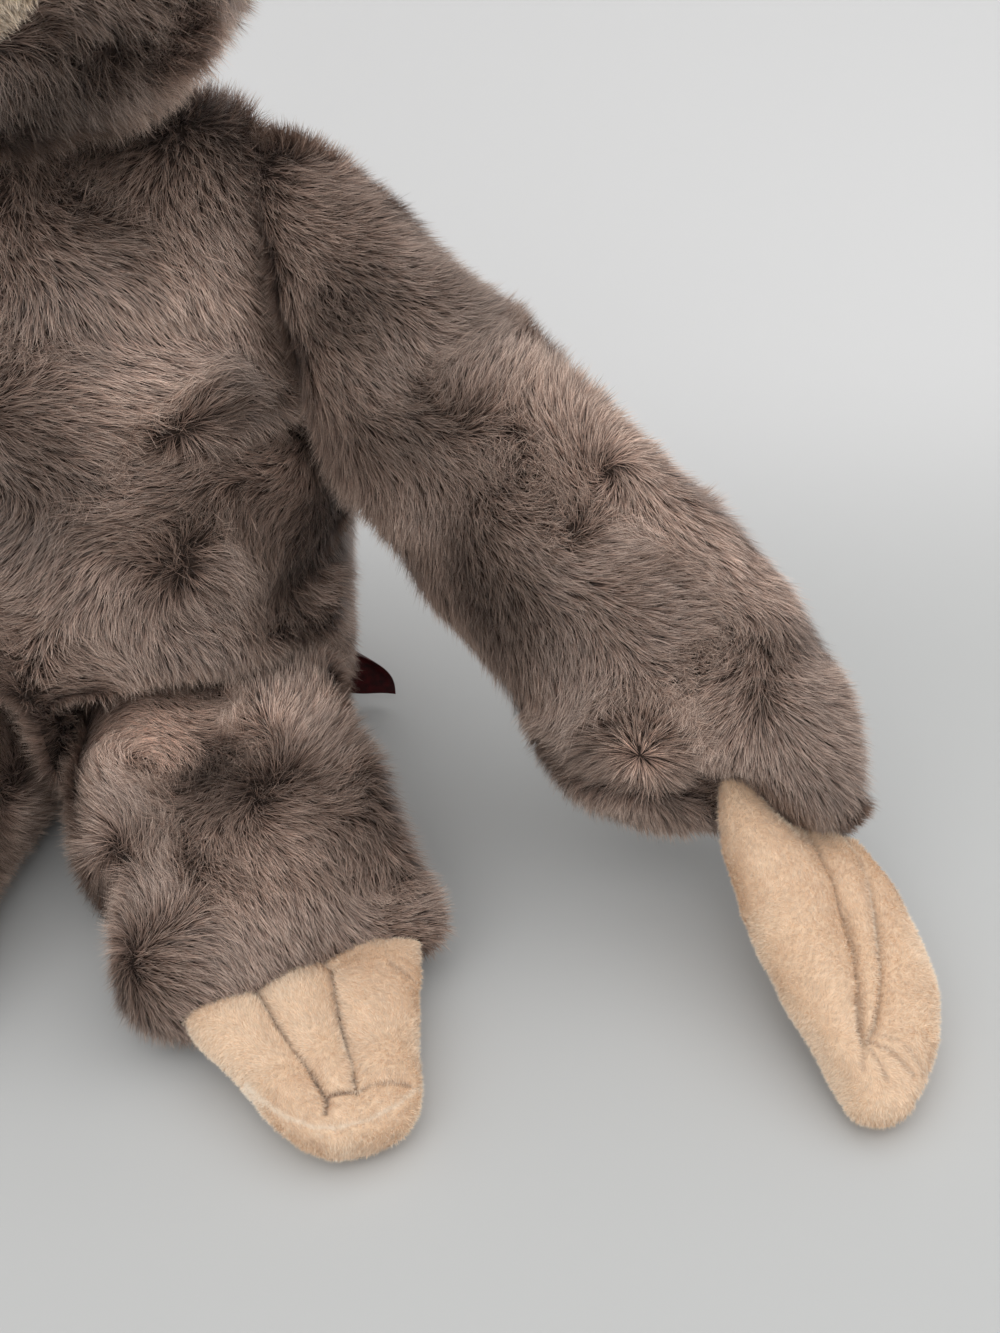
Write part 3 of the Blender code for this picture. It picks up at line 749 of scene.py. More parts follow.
def pile_finish(name, root, middle, tip, roughness=0.5, specular=0.3, contrast=1.0, sheen=0.05):
    made, tree = finish_of(name, roughness, specular, sheen)
    known = ("along", "tint", "tone", "shade")
    values = (add(tree, "ShaderNodeAttribute", attribute_name=name)["Fac"] for name in known)
    along, tint, tone, shade = values
    level = (tint - 0.5) * contrast + (tone - 0.5) * (lock_contrast * contrast) + 1.0
    # Painted shade and highlight: each strand's shade value darkens or lightens its whole colour.
    level = level * 2.0 ** (shade * contrast)
    grey = add(tree, "ShaderNodeCombineColor", {0: level, 1: level, 2: level})
    # The dark root end of the ramp is painted shade.
    feed(made, "Base Color", mix(1.0, ramp(along, (0.0, root), (0.5, middle), (1.0, tip)), grey, "MULTIPLY"))
    return made


def mottled_finish(name, deep, light, size=0.004, roughness=0.95, relief=0.0006):
    """A plain cloth or plastic, a little uneven in colour and relief."""
    made, tree = finish_of(name, roughness, 0.2)
    spots = object_noise(tree, size, 4.0)
    feed(made, "Base Color", ramp(spots, (0.3, deep), (0.7, light)))
    bump(made, spots, relief)
    return made


brown_pile = pile_finish(
    "brown pile", (0.062, 0.036, 0.027), (0.286, 0.191, 0.148), (0.61, 0.480, 0.40), 0.42, 0.42
)
# The backings under the pile take the colour of its roots: painted shade.
brown_backing = mottled_finish("brown backing", (0.020, 0.013, 0.010), (0.045, 0.030, 0.023))
cream_pile = pile_finish("cream pile", (0.30, 0.21, 0.14), (0.60, 0.48, 0.36), (0.80, 0.70, 0.58))
cream_backing = mottled_finish("cream backing", (0.30, 0.22, 0.15), (0.42, 0.32, 0.23))
dark_pile = pile_finish("dark pile", (0.012, 0.008, 0.006), (0.045, 0.029, 0.022), (0.11, 0.078, 0.062))
dark_backing = mottled_finish("dark backing", (0.010, 0.007, 0.005), (0.024, 0.016, 0.012))
beige_pile = pile_finish(
    "beige pile", (0.80, 0.58, 0.40), (0.90, 0.71, 0.53), (0.98, 0.87, 0.72), 0.7, 0.15, 0.30, 0.45
)
fibre_finish = mottled_finish("polyester fibre", (0.66, 0.66, 0.64), (0.88, 0.88, 0.86), 0.006, 0.9, 0.0015)
print("finishes", len(bpy.data.materials))

# %% [markdown]
# ## Dressing the covers
#
# The strands grow on a slice of a cover at a time, because a piece has a largest size. Cloth that is inside
# another body, or under the face, stays bare. Each limb has a round end at its seam, so it turns in the pile
# of the torso without a gap.

# %% Covers and their pile
long_pile = {
    "Density": 3.3e6, "Length": 0.0082, "Width": 0.00026, "Lean": 0.68, "Lift": 0.70, "Whorl": 0.050,
    "Twist": 0.9, "Lock": 0.0018, "Pull": 0.45, "Untidy": 0.18, "Combed": (0.0, 0.0, -0.06),
    "Star": (0.0, 0.0, -1.0), "Star reach": 0.020, "Seed": 4, "Finish": brown_pile,
}
ruffled = {"Lift": 0.9, "Whorl": 0.030, "Lock": 0.0023, "Pull": 0.70, "Untidy": 0.26}
# Each patch is a place and a reach in millimetres, then how flat (over 0) or upright (under 0) its pile is.
# The same number paints a highlight on the strands where it is over 0, and shade where it is under 0.
lay_and_shade_patches = {
    "torso": (
        (42, -62, 175, 26, 0.6), (63, -46, 193, 20, 0.5), (29, -62, 184, 12, -0.6), (37, -46, 211, 14, -0.6),
        (71, -49, 160, 17, -0.9), (57, -62, 135, 16, -0.3), (0, -73, 150, 30, -0.55), (82, -47, 98, 14, -0.3),
        (85, -40, 135, 20, 0.4), (93, -25, 119, 14, 0.3), (16, -73, 137, 18, -0.4), (12, -77, 95, 20, 0.2),
        (-6, -74, 44, 24, 0.4), (-48, -60, 165, 24, 0.7), (-70, -50, 120, 20, -0.7), (-40, -70, 90, 22, 0.5),
    ),
    "arm_left": (
        (96, -15, 210, 20, 0.3), (104, -46, 188, 16, -0.8), (118, -62, 158, 18, -0.7),
        (137, -36, 182, 22, -0.5), (176, -65, 143, 26, 0.7), (156, -54, 162, 18, 0.5),
        (139, -87, 112, 20, -1.0), (128, -77, 133, 16, -0.6), (158, -98, 105, 16, -0.3),
        (215, -78, 112, 26, 0.6), (197, -70, 126, 18, 0.5), (194, -111, 90, 22, 0.4),
        (180, -115, 74, 15, 0.5), (180, -115, 74, 6, 1.2), (166, -109, 76, 16, -0.3),
        (233, -122, 63, 12, -0.4),
    ),
    "leg_left": (
        (33, -80, 64, 26, 1.2), (71, -75, 65, 18, 1.0), (89, -66, 63, 12, 0.6), (52, -95, 61, 12, -0.6),
        (65, -126, 48, 22, 0.5), (79, -140, 29, 16, -0.4),
    ),
    "head": (
        (40, -57, 254, 26, -1.0), (20, -57, 243, 24, -0.9),
        (63, -34, 258, 20, 0.5), (-40, -50, 250, 26, -0.5),
    ),
}
patch_spread = 1.25
pressed_depth = 0.0020
face_share = 0.93
seam_near, seam_ease = 0.004, 0.010
claw_corner_reach, claw_corner_trim = 0.024, 1.4
star_left = mm(180, -115, 74)
arm_comb = mm(50, -38, -50)
body_nodes = frame["record"]["behaviour"]["bodies"]


def beside(body):
    """The solids of the other bodies that this body's cloth can press on."""
    others = [node for name, nodes in body_nodes.items() if name != body for node in nodes]
    return solid_tree(*[node for node in others if "cover" in node or "filling" in node])


def lay_and_trim(body, skin):
    """Gives each point of a cover how flat its pile lies, which also sets its painted highlight and shade, and how
    short it is cut.
    """
    limb, _, word = body.partition("_")
    mitt = {"arm": "hand_", "leg": "foot_"}.get(limb)
    edge = solid_tree(mitt + word + "_cover") if mitt else None
    lay, trim = [], []
    for vertex in skin.data.vertices:
        place = left_side(body, vertex.co)
        value = 0.0
        for *centre, reach, amount in lay_and_shade_patches[body.replace("right", "left")]:
            value += swell(mm(*centre), reach / 1000 * patch_spread, amount)(place)
        lay.append(value)
        short = 0.0
        if edge:
            short = 1 - min(1, max(0, (edge.find_nearest(vertex.co)[3] - seam_near) / seam_ease))
        if limb == "arm":
            short = max(short, claw_corner_trim * (1 - (place - claw_corner).length / claw_corner_reach))
        trim.append(short)
    for name, values in (("lay", lay), ("trim", trim)):
        skin.data.attributes.new(name, "FLOAT", "POINT").data.foreach_set("value", values)


def open_to_air(body, pressed, point, normal):
    """Whether cloth of a body is clear of the other bodies, the table and the face."""
    wall = pressed.ray_cast(point - normal * pressed_depth, normal)[1]
    free = wall is None or wall.dot(normal) < 0
    on_face = body == "head" and from_face(point) < face_share
    return free and point.z > rest_height * 2 and not on_face


slices = {"torso": (("front", lambda p: p.y < 0.005), ("back", lambda p: p.y >= 0.005))}
for body, skin in skins.items():
    pressed = beside(body)
    lay_and_trim(body, skin)
    values = dict(long_pile, **(ruffled if body == "head" else {}))
    if body.startswith("arm"):
        values.update({"Star": tuple(left_side(body, star_left)), "Combed": tuple(left_side(body, arm_comb))})
    for word, inside in slices.get(body, (("whole", lambda p: True),)):
        keep = lambda p, n: inside(p) and open_to_air(body, pressed, p, n)
        dress(grow(skin, body + "_pile_" + word, keep, values, cover_limit), body)
    dress(skin, body, brown_backing, body + "_cover")
for piece, body, node, slot in inner_pieces:
    dress(piece, body, fibre_finish, node)
print("long pile", strand_total, "strands")

# %% [markdown]
# ## Claw mitts
#
# A mitt is one bag of short-pile cloth, divided into three claws by two stitched channels that run together
# near the tip. It starts as a round edge at its seam, swells, bends down at its sides and closes in a blunt
# tip. Every crease is a line of (along, across) places, in hundredths of the mitt. The crease nearest to a
# point decides how far the cloth is drawn in there and how much shade is painted on it, so shape and colour
# always agree. A channel or fold is given by its half width, its depth and its painted shade, which is
# negative where a pale highlight is painted instead.

# %% The mitts' measures
mitt_rows, mitt_columns = 132, 216
edge_radius = 0.005
root_edge_share, root_edge_taper = 0.97, 0.04
tip_share = 0.07
cap_start_share = 0.95
root_reach = 0.40
mitt_roundness = 2.6
valley_share = 0.42
plump_share = 0.20
outer_channel = 1.35
table_places = (0.0, 0.11, 0.28, 0.48, 0.68, 0.84, 0.95, 1.0)
fullness_shares = (0.0, 0.72, 1.0, 1.0, 0.95, 0.82, 0.62, 0.42)
mitts = {
    "hand": {
        "joint": "wrist",
        "heading": Vector((-0.13, -0.95, -0.28)),
        "half_width": 0.0275, "half_thickness": 0.0125, "length": 0.083,
        "lean": 0.046, "sweep": -0.023, "curl": math.radians(22),
        "width_shares": (0.98, 1.06, 1.01, 0.96, 0.80, 0.58, 0.42, 0.33),
        "channels": (
            ((-5, 20), (12, 3), (23, -2), (40, -8), (48, -12), (62, -22), (76, -37), (85, -50)),
            ((-5, 75), (11, 52), (20, 45), (29, 38), (48, 17), (68, -3), (77, -20), (84, -45)),
        ),
        "scallop": 0.0015, "corner": 0.0160, "corner_rise": 0.0085,
        "channel": (0.0011, 0.0008, 0.30),
        "folds": (
            (((84, -48), (93, -70)), 0.0011, 0.0008, 0.22),
            (((84, -46), (96, -25)), 0.0011, 0.0008, 0.25),
            (((83, -40), (87, 0), (92, 40)), 0.0013, 0.0010, 0.30),
            (((80, -25), (82, 10), (90, 70)), 0.0013, 0.0005, 0.15),
        ),
    },
    "foot": {
        "joint": "ankle",
        "heading": Vector((0.278, -0.941, -0.191)),
        "half_width": 0.0344, "half_thickness": 0.0115, "length": 0.052,
        "lean": 0.0035, "sweep": 0.0005, "curl": math.radians(11),
        "width_shares": (1.12, 1.01, 0.86, 0.74, 0.64, 0.55, 0.46, 0.38),
        "channels": (
            ((-5, -34), (26, -37), (43, -37), (60, -34), (78, -35)),
            ((-5, 26), (16, 22), (49, 15), (67, 10), (82, 3)),
        ),
        "scallop": 0.0060, "corner": 0.0030, "corner_rise": 0.0,
        "channel": (0.0009, 0.0013, 0.70),
        "folds": (
            (((78, -35), (82, 3)), 0.0009, 0.0012, 0.9),
            (((78, -35), (84, -42), (88, -50)), 0.0009, 0.0011, 0.8),
            (((82, 3), (81, 20), (82, 45), (85, 80)), 0.0012, 0.0009, 0.25),
            (((50, -99), (68, -95), (81, -90), (92, -76), (97, -52)), 0.0010, 0.0005, -0.6),
            (((97, -52), (99, 5), (95, 62), (86, 95)), 0.0010, 0.0005, -0.6),
            (((12, 72), (20, 90)), 0.0010, 0.0005, 0.18),
        ),
    },
}


# %% The mitt's shape
def through_table(values, at):
    """A smooth curve through the table of places, by cubic pieces."""
    slopes = np.gradient(np.array(values), np.array(table_places))
    at = np.clip(at, 0, 1)
    i = np.clip(np.searchsorted(table_places, at, side="right") - 1, 0, len(table_places) - 2)
    wide = np.take(np.diff(table_places), i)
    t = (at - np.take(table_places, i)) / wide
    first, second = np.take(values, i), np.take(values, i + 1)
    rise, fall = np.take(slopes, i) * wide, np.take(slopes, i + 1) * wide
    start = first * (1 + 2 * t) * (1 - t) ** 2 + rise * t * (1 - t) ** 2
    return start + second * t * t * (3 - 2 * t) - fall * t * t * (1 - t)


def along_channel(channel, at):
    return np.interp(at, [point[0] / 100 for point in channel], [point[1] / 100 for point in channel])


def line_distance(line, at, place, length, wide):
    """How far, in metres over the cloth, each point is from a line of (along, across) places."""
    near = np.full(at.shape, 1.0)
    x, y = place * wide, at * length
    for (y0, x0), (y1, x1) in zip(line, line[1:]):
        ax, ay, bx, by = x0 / 100 * wide, y0 / 100 * length, x1 / 100 * wide, y1 / 100 * length
        dx, dy = bx - ax, by - ay
        share = np.clip(((x - ax) * dx + (y - ay) * dy) / (dx * dx + dy * dy), 0, 1)
        near = np.minimum(near, np.hypot(ax + dx * share - x, ay + dy * share - y))
    return near


def mitt_net(name, mitt, word, rows, columns, inset=0.0):
    """The closed net of a mitt, with the painted shade of its creases at each point, negative where a highlight is
    painted. An inset net is its filling.
    """
    joint = joints[mitt["joint"] + "_left"]
    seam, across = np.array(joint["pos_m"]), np.array(joint["axis"])
    ahead = np.array(mitt["heading"]) - across * np.dot(mitt["heading"], across)
    ahead /= np.linalg.norm(ahead)
    up = np.cross(ahead, across)
    # Rows round the seam's edge, along the mitt, and round its tip.
    edge_rows, tip_rows = rows // 12, rows // 10
    body = np.linspace(0, 1, rows - edge_rows - tip_rows)[1:]
    edge_turn = np.linspace(0, math.pi / 2, edge_rows)
    tip_turn = np.linspace(0, math.pi / 2, tip_rows + 1)[1:]
    length = mitt["length"] * cap_start_share - inset
    at = np.concatenate([-np.cos(edge_turn) * edge_radius / length, body, 1 + np.sin(tip_turn) * tip_share])
    shut = np.concatenate([np.sin(edge_turn), np.ones(len(body)), np.cos(tip_turn)])
    full = through_table(fullness_shares, at)
    full[:edge_rows] = 0
    thick = (edge_radius + (mitt["half_thickness"] - edge_radius) * full - inset) * shut
    wide = mitt["half_width"] * through_table(mitt["width_shares"], at) - inset
    root_edge = root_edge_share - root_edge_taper * (1 - shut[:edge_rows])
    wide[:edge_rows] = mitt["half_width"] * root_edge - inset
    wide = np.maximum(wide, edge_radius * 0.6) * np.where(at > 1, np.maximum(shut, 0.0), 1.0)
    bend = np.maximum(mitt["curl"] * full, 0.001)[:, None]

    # Every row is a flat oval. Claws swell between the channels, and the cloth dips at them.
    turn = math.tau * np.arange(columns) / columns
    place = np.cos(turn)[None, :].repeat(len(at), 0)
    flat = 1 - np.minimum(1, np.abs(np.cos(turn))) ** mitt_roundness
    side = (np.sign(np.round(np.sin(turn), 9)) * flat ** (1 / mitt_roundness))[None, :]
    at_grid, wide_grid = at[:, None].repeat(columns, 1), wide[:, None].repeat(columns, 1)
    low, high = (along_channel(channel, at)[:, None] for channel in mitt["channels"])
    stitched = max(channel[-1][0] / 100 for channel in mitt["channels"])
    held = np.clip((at_grid + 0.05) / 0.10, 0, 1) * np.clip((stitched + 0.06 - at_grid) / 0.12, 0, 1)
    first = np.where(place < low, -outer_channel, np.where(place < high, low, high))
    second = np.where(place < low, low, np.where(place < high, high, outer_channel))
    share = np.clip((place - first) / np.maximum(second - first, 0.02), 0, 1)
    claw = np.sin(math.pi * share) ** 0.62
    plump = 1 + plump_share * (np.minimum(second, 1) - np.maximum(first, -1) - 2 / 3) * claw * held
    valley = valley_share * held * np.clip(full, 0.3, 1)[:, None] * (1 - claw)
    height = thick[:, None] * side * (1 - valley) * plump

    # Each crease draws the cloth in and paints shade along its line; a negative amount paints a pale highlight
    # instead.
    drawn, dark = np.zeros(at_grid.shape), np.zeros(at_grid.shape)
    creases = [(channel, *mitt["channel"]) for channel in mitt["channels"]] + list(mitt["folds"])
    for line, half, deep, shade_amount in creases:
        near = line_distance(line, at_grid, place, length, np.maximum(wide_grid, 0.004))
        touched = np.exp(-((near / half) ** 2))
        drawn = np.maximum(drawn, touched * deep)
        line_shade = np.exp(-((near / (half * 0.6)) ** 2)) * shade_amount
        dark = np.where(np.abs(dark) > touched * abs(shade_amount), dark, line_shade)
    if inset:
        drawn = drawn * 0
    height = height - np.sign(side) * np.minimum(drawn, np.abs(height) * 0.7)

    # The seam's edge runs further back between the channels and at its inner corner.
    root = np.clip(1 - np.maximum(at_grid, 0) / root_reach, 0, 1) ** 2
    corner = np.clip(-place, 0, 1) ** 1.5
    slid = root * (mitt["scallop"] * claw + mitt["corner"] * corner)
    lifted = root * mitt["corner_rise"] * corner * shut[:, None]
    leant = mitt["lean"] * at + mitt["sweep"] * at * at
    centre = seam + ahead * (at * length)[:, None] + across * leant[:, None]
    angle = place * bend / 2
    radius = wide[:, None] / (bend / 2)
    out = up * np.cos(angle)[..., None] + across * np.sin(angle)[..., None]
    spine = centre[:, None] + across * (radius * np.sin(angle))[..., None]
    spine = spine + up * (radius * (np.cos(angle) - 1))[..., None]
    points = spine + out * height[..., None] - ahead * slid[..., None] + up * lifted[..., None]
    if word == "right":
        points[..., 0] *= -1
    points[..., 2] = np.maximum(points[..., 2], rest_height)
    faces = strips(len(at), columns)
    if word == "left":
        faces = [face[::-1] for face in faces]
    made = new_object(name, points.reshape(-1, 3), faces)
    made.data.attributes.new("crease", "FLOAT", "POINT").data.foreach_set("value", dark.ravel())
    with edited(made.data) as mesh:
        bmesh.ops.remove_doubles(mesh, verts=mesh.verts, dist=0.00002)
        bmesh.ops.dissolve_degenerate(mesh, edges=mesh.edges, dist=0.00001)
        bmesh.ops.recalc_face_normals(mesh, faces=mesh.faces)
    push(made, lumps(((0.013, 0.0009), (0.005, 0.0003)), 9))
    above_table(made)
    return made, at, points


# %% Claw finishes
def creased(made):
    """Paints shade into a finish along creases, where stitches draw the cloth in, and a pale highlight at edges.
    """
    base = shader_of(made).inputs["Base Color"]
    crease = add(made.node_tree, "ShaderNodeAttribute", attribute_name="crease")["Fac"]
    highlight_share, shade_share = (crease * -1.0).sum("MAXIMUM", 0.0), crease.sum("MAXIMUM", 0.0)
    # The cream colour is the painted highlight and the dark brown the painted shade.
    highlighted = mix(highlight_share, Value(base.links[0].from_socket), (0.98, 0.90, 0.78, 1))
    feed(made, "Base Color", mix(shade_share, highlighted, (0.19, 0.085, 0.045, 1)))


beige_backing = mottled_finish("beige backing", (0.74, 0.53, 0.36), (0.80, 0.60, 0.42), 0.007, 0.9, 0.0002)
creased(beige_pile)
creased(beige_backing)
short_pile = {
    **long_pile, "Density": 9.0e6, "Length": 0.0015, "Width": 0.00017, "Lean": 0.58, "Lift": 0.1,
    "Whorl": 0.040, "Twist": 0.5, "Lock": 0.0012, "Pull": 0.7, "Untidy": 0.30, "Finish": beige_pile,
}
fibre_inset = 0.0036
mitt_grids = {}
for word in ("left", "right"):
    for kind, mitt in mitts.items():
        body = kind + "_" + word
        cloth, *mitt_grids[body] = mitt_net(body + "_cloth", mitt, word, mitt_rows, mitt_columns)
        nap = grow(cloth, body + "_nap", lambda p, n: p.z > rest_height * 1.5, short_pile, mitt_limit)
        dress(nap, body)
        dress(cloth, body, beige_backing, body + "_cover")
        fibre = mitt_net(body + "_fibre", mitt, word, 48, 64, fibre_inset)[0]
        keep_inside(fibre, cloth, stuffing_room)
        dress(fibre, body, fibre_finish, body + "_filling")
        print(body, len(cloth.data.polygons), "faces")

# %% [markdown]
# Stitches lie in the channels: one short rounded piece of thread after another, each a little turned, drawn
# into the cloth. They are one repeated shape of a few faces.


# %% Stitches
thread_sides = 6
thread_stations = ((0.0, 0.35), (0.2, 0.9), (0.5, 1.0), (0.8, 0.9), (1.0, 0.35))


def thread_piece(points, faces, start, end, up, radius):
    """One stitch: a rounded length of thread."""
    along = (end - start).normalized()
    aside = along.cross(up).normalized()
    over = aside.cross(along)
    first = len(points)
    for share, wide in thread_stations:
        middle = start.lerp(end, share) + over * (radius * (1 - (2 * share - 1) ** 2))
        for j in range(thread_sides):
            angle = math.tau * j / thread_sides
            points.append(middle + (aside * math.cos(angle) + over * math.sin(angle)) * (radius * wide))
    faces += strips(len(thread_stations), thread_sides, first)
    faces.append(tuple(range(first, first + thread_sides))[::-1])
    faces.append(tuple(range(len(points) - thread_sides, len(points))))


def stitch_row(cloth, line, lift, pitch, radius, points, faces):
    """Stitches of an even pitch along a line, on the cloth that is nearest to it."""
    found = [cloth.find_nearest(place)[:2] for place in line]
    places = [near + up * lift for near, up in found]
    run, goal, marks = 0.0, pitch * 0.1, []
    for a, b, (near, up) in zip(places, places[1:], found):
        far = (b - a).length
        while run + far >= goal:
            marks.append((a.lerp(b, (goal - run) / far), up))
            goal += pitch * (0.78 if len(marks) % 2 else 0.22)
        run += far
    for (a, up), (b, other) in zip(marks[::2], marks[1::2]):
        thread_piece(points, faces, a, b, up, radius)


thread = (0.0006, 0.7, 0.0001)
thread_finish = mottled_finish("brown thread", (0.060, 0.028, 0.017), (0.15, 0.075, 0.045), *thread)
beige_thread = mottled_finish("beige thread", (0.42, 0.26, 0.16), (0.62, 0.42, 0.28), *thread)
for body, (at, grid) in mitt_grids.items():
    points, faces = [], []
    columns = grid.shape[1]
    cloth = tree_of(bpy.data.objects[body + "_cloth"])
    for channel in mitts[body.split("_")[0]]["channels"]:
        line = []
        for i in range(len(at)):
            if 0.02 < at[i] < channel[-1][0] / 100:
                share = float(along_channel(channel, at[i]))
                column = math.acos(max(-1, min(1, share))) / math.tau * columns
                j = int(column)
                line.append(Vector(grid[i, j]).lerp(Vector(grid[i, (j + 1) % columns]), column - j))
        stitch_row(cloth, line, -0.00005, 0.0030, 0.00020, points, faces)
    made = new_object(body + "_stitches", points, faces)
    dress(made, body, thread_finish if body.startswith("foot") else beige_thread)
    print(made.name, len(faces), "faces")

# %% [markdown]
# ## The face
#
# A pale oval of short pile is sewn on the head's front, with a dark drop over each eye. The muzzle is a small
# padded cushion with a dark nose, and a stitched smile. The eyes are moulded domes on stems that washers lock
# from inside.

# %% The face's cloth
panel_proud, patch_proud, eye_proud = 0.0018, 0.0030, 0.0039
face_tuck, tuck_from = 0.0014, 0.93
eye_place, eye_clear = (0.0195, 0.0112), 0.0052
patch_place, patch_turn, patch_reach = (0.0250, 0.0085), math.radians(26), (0.0170, 0.0092)
muzzle_drop = 0.0095


def on_head(across, rise, proud):
    """A place in front of the head, and the way out there."""
    deep = math.sqrt(max(0.02, 1 - (across / head_radii.x) ** 2 - (rise / head_radii.z) ** 2))
    local = Vector((across, -head_radii.y * deep, rise))
    out = Vector([a / r / r for a, r in zip(local, head_radii)]).normalized()
    return head_middle + local + out * proud, out


def turned(x, z, turn):
    return x * math.cos(turn) + z * math.sin(turn), z * math.cos(turn) - x * math.sin(turn)


def face_sheet(name, middle, half_length, half_width, turn, proud, rings, sides):
    """An oval of cloth on the head's front, with its edge turned down."""

    def place_of(share, angle):
        drop = face_tuck * max(0, (share - tuck_from) / (1 - tuck_from)) ** 2
        a, b = turned(half_length * share * math.cos(angle), half_width * share * math.sin(angle), turn)
        return on_head(middle[0] + a, middle[1] + b, proud - drop)[0]

    made = net(name, rings, sides, place_of, tip=False, flip=True)
    if made.data.polygons[0].normal.y > 0:
        made.data.flip_normals()
    push(made, lumps(((0.012, 0.0004),), 11))
    return made


def dressed_sheet(piece, node, size, nap_values, backing, keep):
    """A sheet of short pile on the face, with its nap."""
    area = sum(polygon.area for polygon in piece.data.polygons)
    nap = grow(piece, piece.name + "_nap", keep, nap_values, face_limit)
    flat = [length * math.sqrt(area / (math.pi / 4 * size[0] * size[1])) for length in size]
    dress(piece, "head", backing, node)
    dress(nap, "head")
    print(piece.name, "flat", [round(1000 * side, 1) for side in flat], "mm, area", round(area * 1e6), "mm2")


cream_values, dark_values = (
    {**short_pile, "Length": length, "Width": 0.00026, "Density": density, "Finish": finish, "Combed": combed}
    for length, density, finish, combed in (
        (0.0030, 6.0e6, cream_pile, (0, 0, -0.2)), (0.0026, 8.0e6, dark_pile, (0, 0, -0.3)),
    )
)


def from_place(point, side, place):
    return point.x - side * place[0], point.z - head_middle.z - place[1]


def clear_of_eyes(point):
    return min(math.hypot(*from_place(point, side, eye_place)) for side in (1, -1)) > eye_clear


def on_patch(point):
    for side in (1, -1):
        a, b = turned(*from_place(point, side, patch_place), -side * patch_turn)
        if math.hypot(a / patch_reach[0], b / patch_reach[1]) < 1:
            return True
    return False


def clear_of_patches(point, normal):
    return not on_patch(point) and clear_of_eyes(point)


panel = face_sheet("face_cloth", (0, 0.0075), face_reach.x, face_reach.z, 0, panel_proud, 30, 96)
dressed_sheet(panel, "face_panel", (0.088, 0.073), cream_values, cream_backing, clear_of_patches)
for side, word in ((1, "left"), (-1, "right")):
    middle = (side * patch_place[0], patch_place[1])
    patch = face_sheet("eye_cloth_" + word, middle, 0.0175, 0.00975, side * patch_turn, patch_proud, 14, 56)
    keep, node = lambda p, n: clear_of_eyes(p), "eye_patch_" + word
    dressed_sheet(patch, node, (0.035, 0.0195), dark_values, dark_backing, keep)


# %% Muzzle, nose and eyes
def cushion(name, centre, radii, rings, sides, power):
    """A small padded oval, a little square in its outline."""

    def place_of(share, turn):
        wide = math.sin(math.pi * share)
        way = Vector((wide * math.cos(turn), -math.cos(math.pi * share), wide * math.sin(turn)))
        size = sum(abs(part) ** power for part in way) ** (-1 / power)
        return centre + Vector([part * size * radius for part, radius in zip(way, radii)])

    made = net(name, rings, sides, place_of, flip=True)
    with edited(made.data) as mesh:
        bmesh.ops.recalc_face_normals(mesh, faces=mesh.faces)
    return made


muzzle_place = on_head(0, -muzzle_drop, 0)[0]
muzzle_radii = mm(19.5, 11, 14.5)
muzzle = cushion("muzzle_plush", muzzle_place, muzzle_radii, 36, 64, 2.0)
smile = [
    Vector((x, muzzle_place.y - 0.008, muzzle_place.z - 0.0045 + 0.0032 * (abs(x) / 0.011) ** 2))
    for x in np.linspace(-0.0115, 0.0115, 13)
]
divide = [
    Vector((0, muzzle_place.y - deep, muzzle_place.z + rise))
    for deep, rise in ((0.011, 0.003), (0.009, -0.0045))
]
push(muzzle, fold(smile, 0.0030, 0.0010))
push(muzzle, fold(divide, 0.0030, 0.0009))
in_front = lambda p, n: p.y < muzzle_place.y + 0.001
nap = grow(muzzle, "muzzle_nap", in_front, dict(cream_values, Length=0.0018), face_limit)
nose_middle = muzzle_place + Vector((0, -muzzle_radii.y * 0.86, 0.0060))
nose = cushion("nose_plush", nose_middle, mm(9.5, 4, 6.5), 20, 36, 2.2)
push(nose, lambda place: -0.0008 * max(0, 1 - abs(place.x) / 0.003) * (place.z < nose_middle.z))
nose_values = dict(dark_values, Length=0.0009, Width=0.00018, Density=2.0e7)
nose_nap = grow(nose, "nose_nap", lambda p, n: n.y < 0.3, nose_values, face_limit)
dress(muzzle, "head", cream_backing, "muzzle")
dress(nap, "head")
dress(nose, "head", dark_backing, "nose")
dress(nose_nap, "head")
points, faces = [], []
for line in (smile, divide):
    stitch_row(tree_of(muzzle), line, 0.0005, 0.0019, 0.00032, points, faces)
dress(new_object("smile_stitches", points, faces), "head", thread_finish)


def eye_finish():
    made, tree = finish_of("polished black plastic", 0.10, 0.35)
    haze = object_noise(tree, 0.0015, 3.0)
    feed(made, "Base Color", ramp(haze, (0.35, (0.006, 0.005, 0.005)), (0.75, (0.020, 0.014, 0.011))))
    feed(made, "Roughness", object_noise(tree, 0.0006, 5.0) * 0.10 + 0.04)
    shader_of(made).inputs["Coat Weight"].default_value = 0.15
    return made


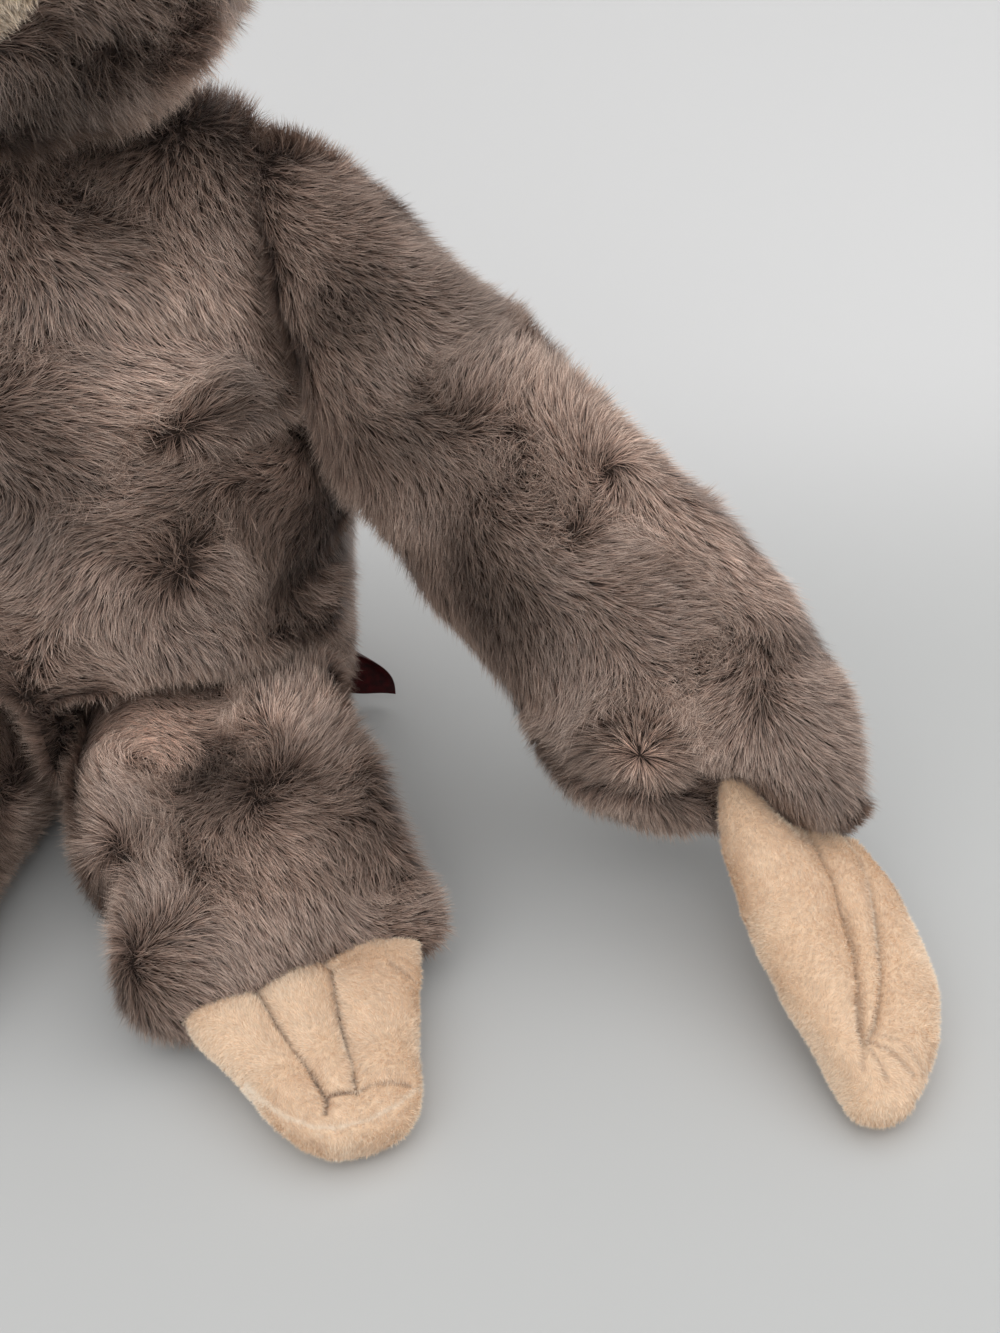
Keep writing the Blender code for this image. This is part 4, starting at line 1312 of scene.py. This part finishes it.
black_plastic = eye_finish()
milky_plastic = mottled_finish("milky plastic", (0.62, 0.62, 0.60), (0.80, 0.80, 0.78), 0.002, 0.45, 0.0001)
eye_radius, dome_share = 0.0060, 0.75
eye_rings, eye_sides = 24, 48
eye_profile = [(eye_radius * 0.96, -0.0012), (eye_radius, -0.0006)] + [
    (eye_radius * math.cos(angle), eye_radius * dome_share * math.sin(angle))
    for angle in np.linspace(0, math.pi / 2, eye_rings)[:-1]
]
for side, word in ((1, "left"), (-1, "right")):
    place, out = on_head(side * eye_place[0], eye_place[1], eye_proud)
    turn = out.to_track_quat("Z", "Y").to_matrix()
    local = []
    for radius, rise in eye_profile:
        for angle in (math.tau * j / eye_sides for j in range(eye_sides)):
            local.append((radius * math.cos(angle), radius * math.sin(angle), rise))
    local.append((0, 0, eye_radius * dome_share))
    faces = [tuple(range(eye_sides))[::-1]] + strips(len(eye_profile), eye_sides)
    faces += fan(len(local) - 1 - eye_sides, len(local) - 1, eye_sides)
    dome = new_object("eye_dome_" + word, [place + turn @ Vector(point) for point in local], faces)
    dress(dome, "head", black_plastic)
    for node, finish in (("eye_" + word, black_plastic), ("eye_washer_" + word, milky_plastic)):
        data = frame["nodes"][node].data
        data.materials.clear()
        data.materials.append(finish)
print("face made")

# %% [markdown]
# ## The loop label
#
# A plain satin ribbon is folded in half and its two ends are sewn into the torso's left side seam. The fold
# hangs out, and its outer corner rolls down and forward.

# %% The label
label_width, label_reach, label_cut = 0.0190, 0.0225, 0.0120
label_inside, label_back, label_low = 0.088, 0.012, 0.0090
label_steps, label_rows = 56, 20


def label_net():
    """The ribbon's net: out along one layer, round the fold, and back."""
    points, lengths = [], []
    for v in range(label_rows + 1):
        up = v / label_rows
        reach = label_reach - label_cut * up**2.8
        line = []
        for u in range(label_steps + 1):
            share = 2 * u / label_steps - 1
            out = min(1, (1 - abs(share)) / 0.97)
            side = math.copysign(1, share) * min(1, abs(share) / 0.10)
            puff = 0.0011 * math.sin(math.pi * min(1, out)) + 0.00035
            wave = 0.0030 * out * out + 0.0012 * math.sin(5 * out + 2 * up)
            z = label_low + label_width * up - 0.0022 * out * out * (1 - up) - 0.0016 * out * up
            x, y = label_inside + reach * out, label_back - wave + side * puff
            line.append(Vector((x, y, max(z, rest_height * 2))))
        points += line
        lengths.append(sum((b - a).length for a, b in zip(line, line[1:])))
    faces = strips(label_rows + 1, label_steps + 1, closed=False)
    return new_object("label_ribbon", points, faces), sum(lengths) / len(lengths)


def satin_finish():
    """Warp-faced satin: fine threads along the ribbon and a soft gloss across them."""
    made, tree = finish_of("dark red satin", 0.45, 0.18)
    threads = (split(place_in(tree))["Z"] * (math.tau / 0.00022)).sum("SINE")
    cloud = object_noise(tree, 0.003, 4.0)
    feed(made, "Base Color", ramp(cloud, (0.3, (0.016, 0.0004, 0.0009)), (0.75, (0.085, 0.0014, 0.0028))))
    bump(made, threads, 0.00003)
    shader_of(made).inputs["Anisotropic"].default_value = 0.5
    return made


ribbon, ribbon_length = label_net()
ribbon_area = sum(polygon.area for polygon in ribbon.data.polygons)
flat = [ribbon_area / ribbon_length, ribbon_length]
dress(ribbon, "torso", satin_finish(), "side_label")
print("label flat", [round(length * 1000, 1) for length in flat], "mm")

# %% Sizes and the end
low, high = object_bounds()
boxes = {"cad": [list(corner) for corner in cad_box], "visual": [list(low), list(high)]}
print({name: [round(v * 1000) for corner in box for v in corner] for name, box in boxes.items()}, "mm")
print("strands in all", strand_total)
